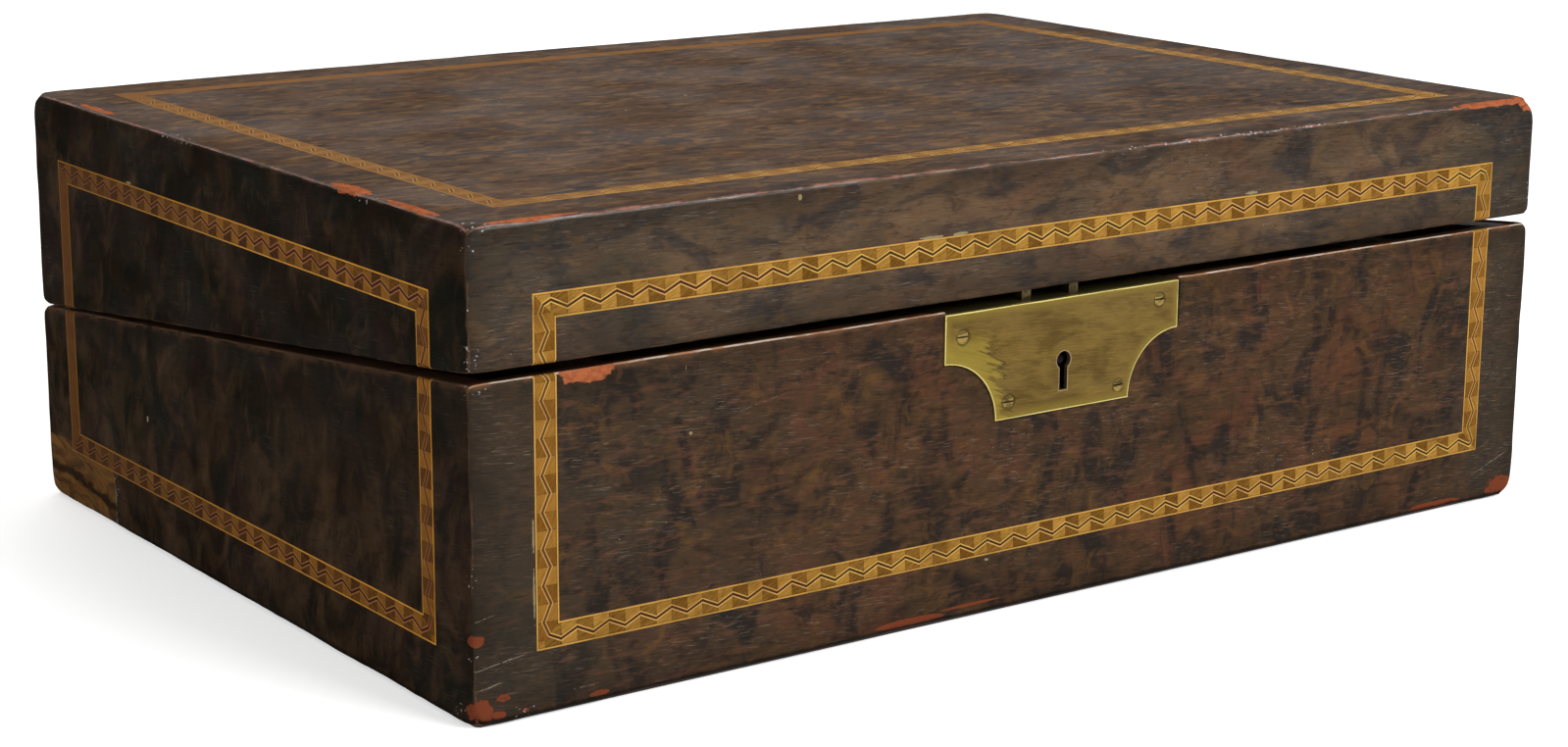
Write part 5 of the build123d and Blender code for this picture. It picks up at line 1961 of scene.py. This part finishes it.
@dataclass(frozen=True)
class Interior:
    """The flaps, the wells and what stands in the bay, with the widths of their bevels."""

    wood: float = 0.35
    flap: float = 0.4
    glass: float = 0.5
    collar: float = 0.3
    cap: float = 0.4
    round_faces: int = 3        # faces across the bevels of the glasses and caps

    def build(self) -> None:
        """Dresses the woodwork, the leathers and the inkwells."""
        long_wood = ("base_hinge_rail", "bay_divider", "bay_floor", "lid_hinge_rail", "lid_front_rail",
                     "pen_tray")
        dress(long_wood, self.wood, INTERIOR)
        dress(("base_ledges", "lid_ledges", "ink_partitions"), self.wood, CROSS_WOOD)
        for half in (BASE, LID):
            dress((f"{half.name}_flap_panel",), self.flap, FLAP_WOOD)
            WritingLeather(half).build()
        dress(("inkwell_glasses",), self.glass, INK_GLASS, self.round_faces)
        dress(("inkwell_collars",), self.collar, BRASS)
        dress(("inkwell_caps",), self.cap, CAP_BRASS, self.round_faces)


# ------------------------------------------------------------------------ studio
@dataclass(frozen=True)
class Softbox:
    """A square lamp that faces the box."""

    name: str
    place: Point            # in metres
    size: float
    watts: float

    def build(self, aim: Vector) -> None:
        """Hangs the lamp and turns it to a point.

        Args:
            aim: the point, in metres.
        """
        lamp = bpy.data.lights.new(self.name, "AREA")
        lamp.energy = self.watts
        lamp.size = self.size
        hung = bpy.data.objects.new(self.name, lamp)
        hung.location = self.place
        hung.rotation_euler = (aim - Vector(self.place)).to_track_quat("-Z", "Y").to_euler()
        bpy.context.scene.collection.objects.link(hung)


@dataclass(frozen=True)
class Studio:
    """The camera, the pale floor, the lamps and the grey room light."""

    eye: Point = (-0.57054, -0.79156, 0.27698)
    target: Point = (-0.00035, 0.0, 0.04103)
    roll: float = 0.3228        # degrees
    lens: float = 69.60
    sensor: float = 36.0
    floor_size: float = 8.0
    floor_white: float = 0.80
    floor_glow: float = 0.55
    room: float = 0.16
    background: float = 1.0
    lamps: tuple[Softbox, ...] = (
        Softbox("key_softbox", (0.55, -1.65, 1.35), 1.0, 43.0),
        Softbox("fill_softbox", (-1.9, -0.2, 0.7), 1.4, 10.0),
        Softbox("back_softbox", (0.2, 1.3, 1.5), 1.4, 20.0),
    )

    def camera(self) -> None:
        """Sets up the camera: it looks from the eye at the target, rolled a little."""
        data = bpy.data.cameras.new("camera")
        data.lens, data.sensor_width = self.lens, self.sensor
        data.clip_start, data.clip_end = 0.01, 100.0
        made = bpy.data.objects.new("camera", data)
        bpy.context.scene.collection.objects.link(made)
        way = (Vector(self.target) - Vector(self.eye)).normalized()
        right = way.cross(Vector((0, 0, 1))).normalized()
        up = right.cross(way)
        turn = math.radians(self.roll)
        across = right * math.cos(turn) + up * math.sin(turn)
        over = up * math.cos(turn) - right * math.sin(turn)
        axes = Matrix((across, over, -way)).transposed()
        made.matrix_world = Matrix.Translation(self.eye) @ axes.to_4x4()
        bpy.context.scene.camera = made

    def seen(self, tree: Tree) -> Value:
        """1 for rays from the camera, from gloss and through glass, else 0.

        Args:
            tree: the floor's tree or the world's.

        Returns:
            The share.
        """
        path = tree.node("ShaderNodeLightPath").outputs
        rays = [Value(tree, path[key]) for key in ("Is Camera Ray", "Is Glossy Ray", "Is Transmission Ray")]
        return rays[0].most(rays[1]).most(rays[2])

    def floor(self) -> None:
        """Lays the floor, which glows a little for the eye and keeps its shadows."""
        half = self.floor_size / 2
        mesh = bpy.data.meshes.new("floor")
        corners = [(-half, -half, 0), (half, -half, 0), (half, half, 0), (-half, half, 0)]
        mesh.from_pydata(corners, [], [(0, 1, 2, 3)])
        laid = bpy.data.objects.new("floor", mesh)
        bpy.context.scene.collection.objects.link(laid)
        t = Tree("pale_floor")
        glowing = {"Color": WHITE, "Strength": self.seen(t) * self.floor_glow}
        glow = t.node("ShaderNodeEmission", None, glowing)
        paint = t.node("ShaderNodeBsdfDiffuse", None, {"Color": (self.floor_white,) * 3})
        both = t.node("ShaderNodeAddShader", None, {0: paint.outputs[0], 1: glow.outputs[0]})
        t.node("ShaderNodeOutputMaterial", None, {"Surface": both.outputs[0]})
        mesh.materials.append(t.owner)

    def world(self) -> None:
        """Fills the room with grey light, and shows white to the eye."""
        world = bpy.data.worlds.new("room")
        bpy.context.scene.world = world
        t = Tree("room", world)
        strength = self.room + self.seen(t) * (self.background - self.room)
        room = t.node("ShaderNodeBackground", None, {"Color": WHITE, "Strength": strength})
        t.node("ShaderNodeOutputWorld", None, {"Surface": room.outputs[0]})

    def build(self) -> None:
        """Sets up everything round the box."""
        self.camera()
        self.floor()
        self.world()
        for lamp in self.lamps:
            lamp.build(Vector(self.target))
        bpy.context.scene.view_settings.view_transform = "Standard"


def main() -> None:
    """Builds the box piece by piece, then the studio."""
    logging.basicConfig(level=logging.INFO, format="%(name)s: %(message)s")
    for part in (Carcase(), Banding(), LockFittings(), Hinges(), Interior()):
        LOG.info("building %s", type(part).__name__)
        part.build()
    Studio().build()
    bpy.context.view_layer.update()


if __name__ == "__main__":
    main()
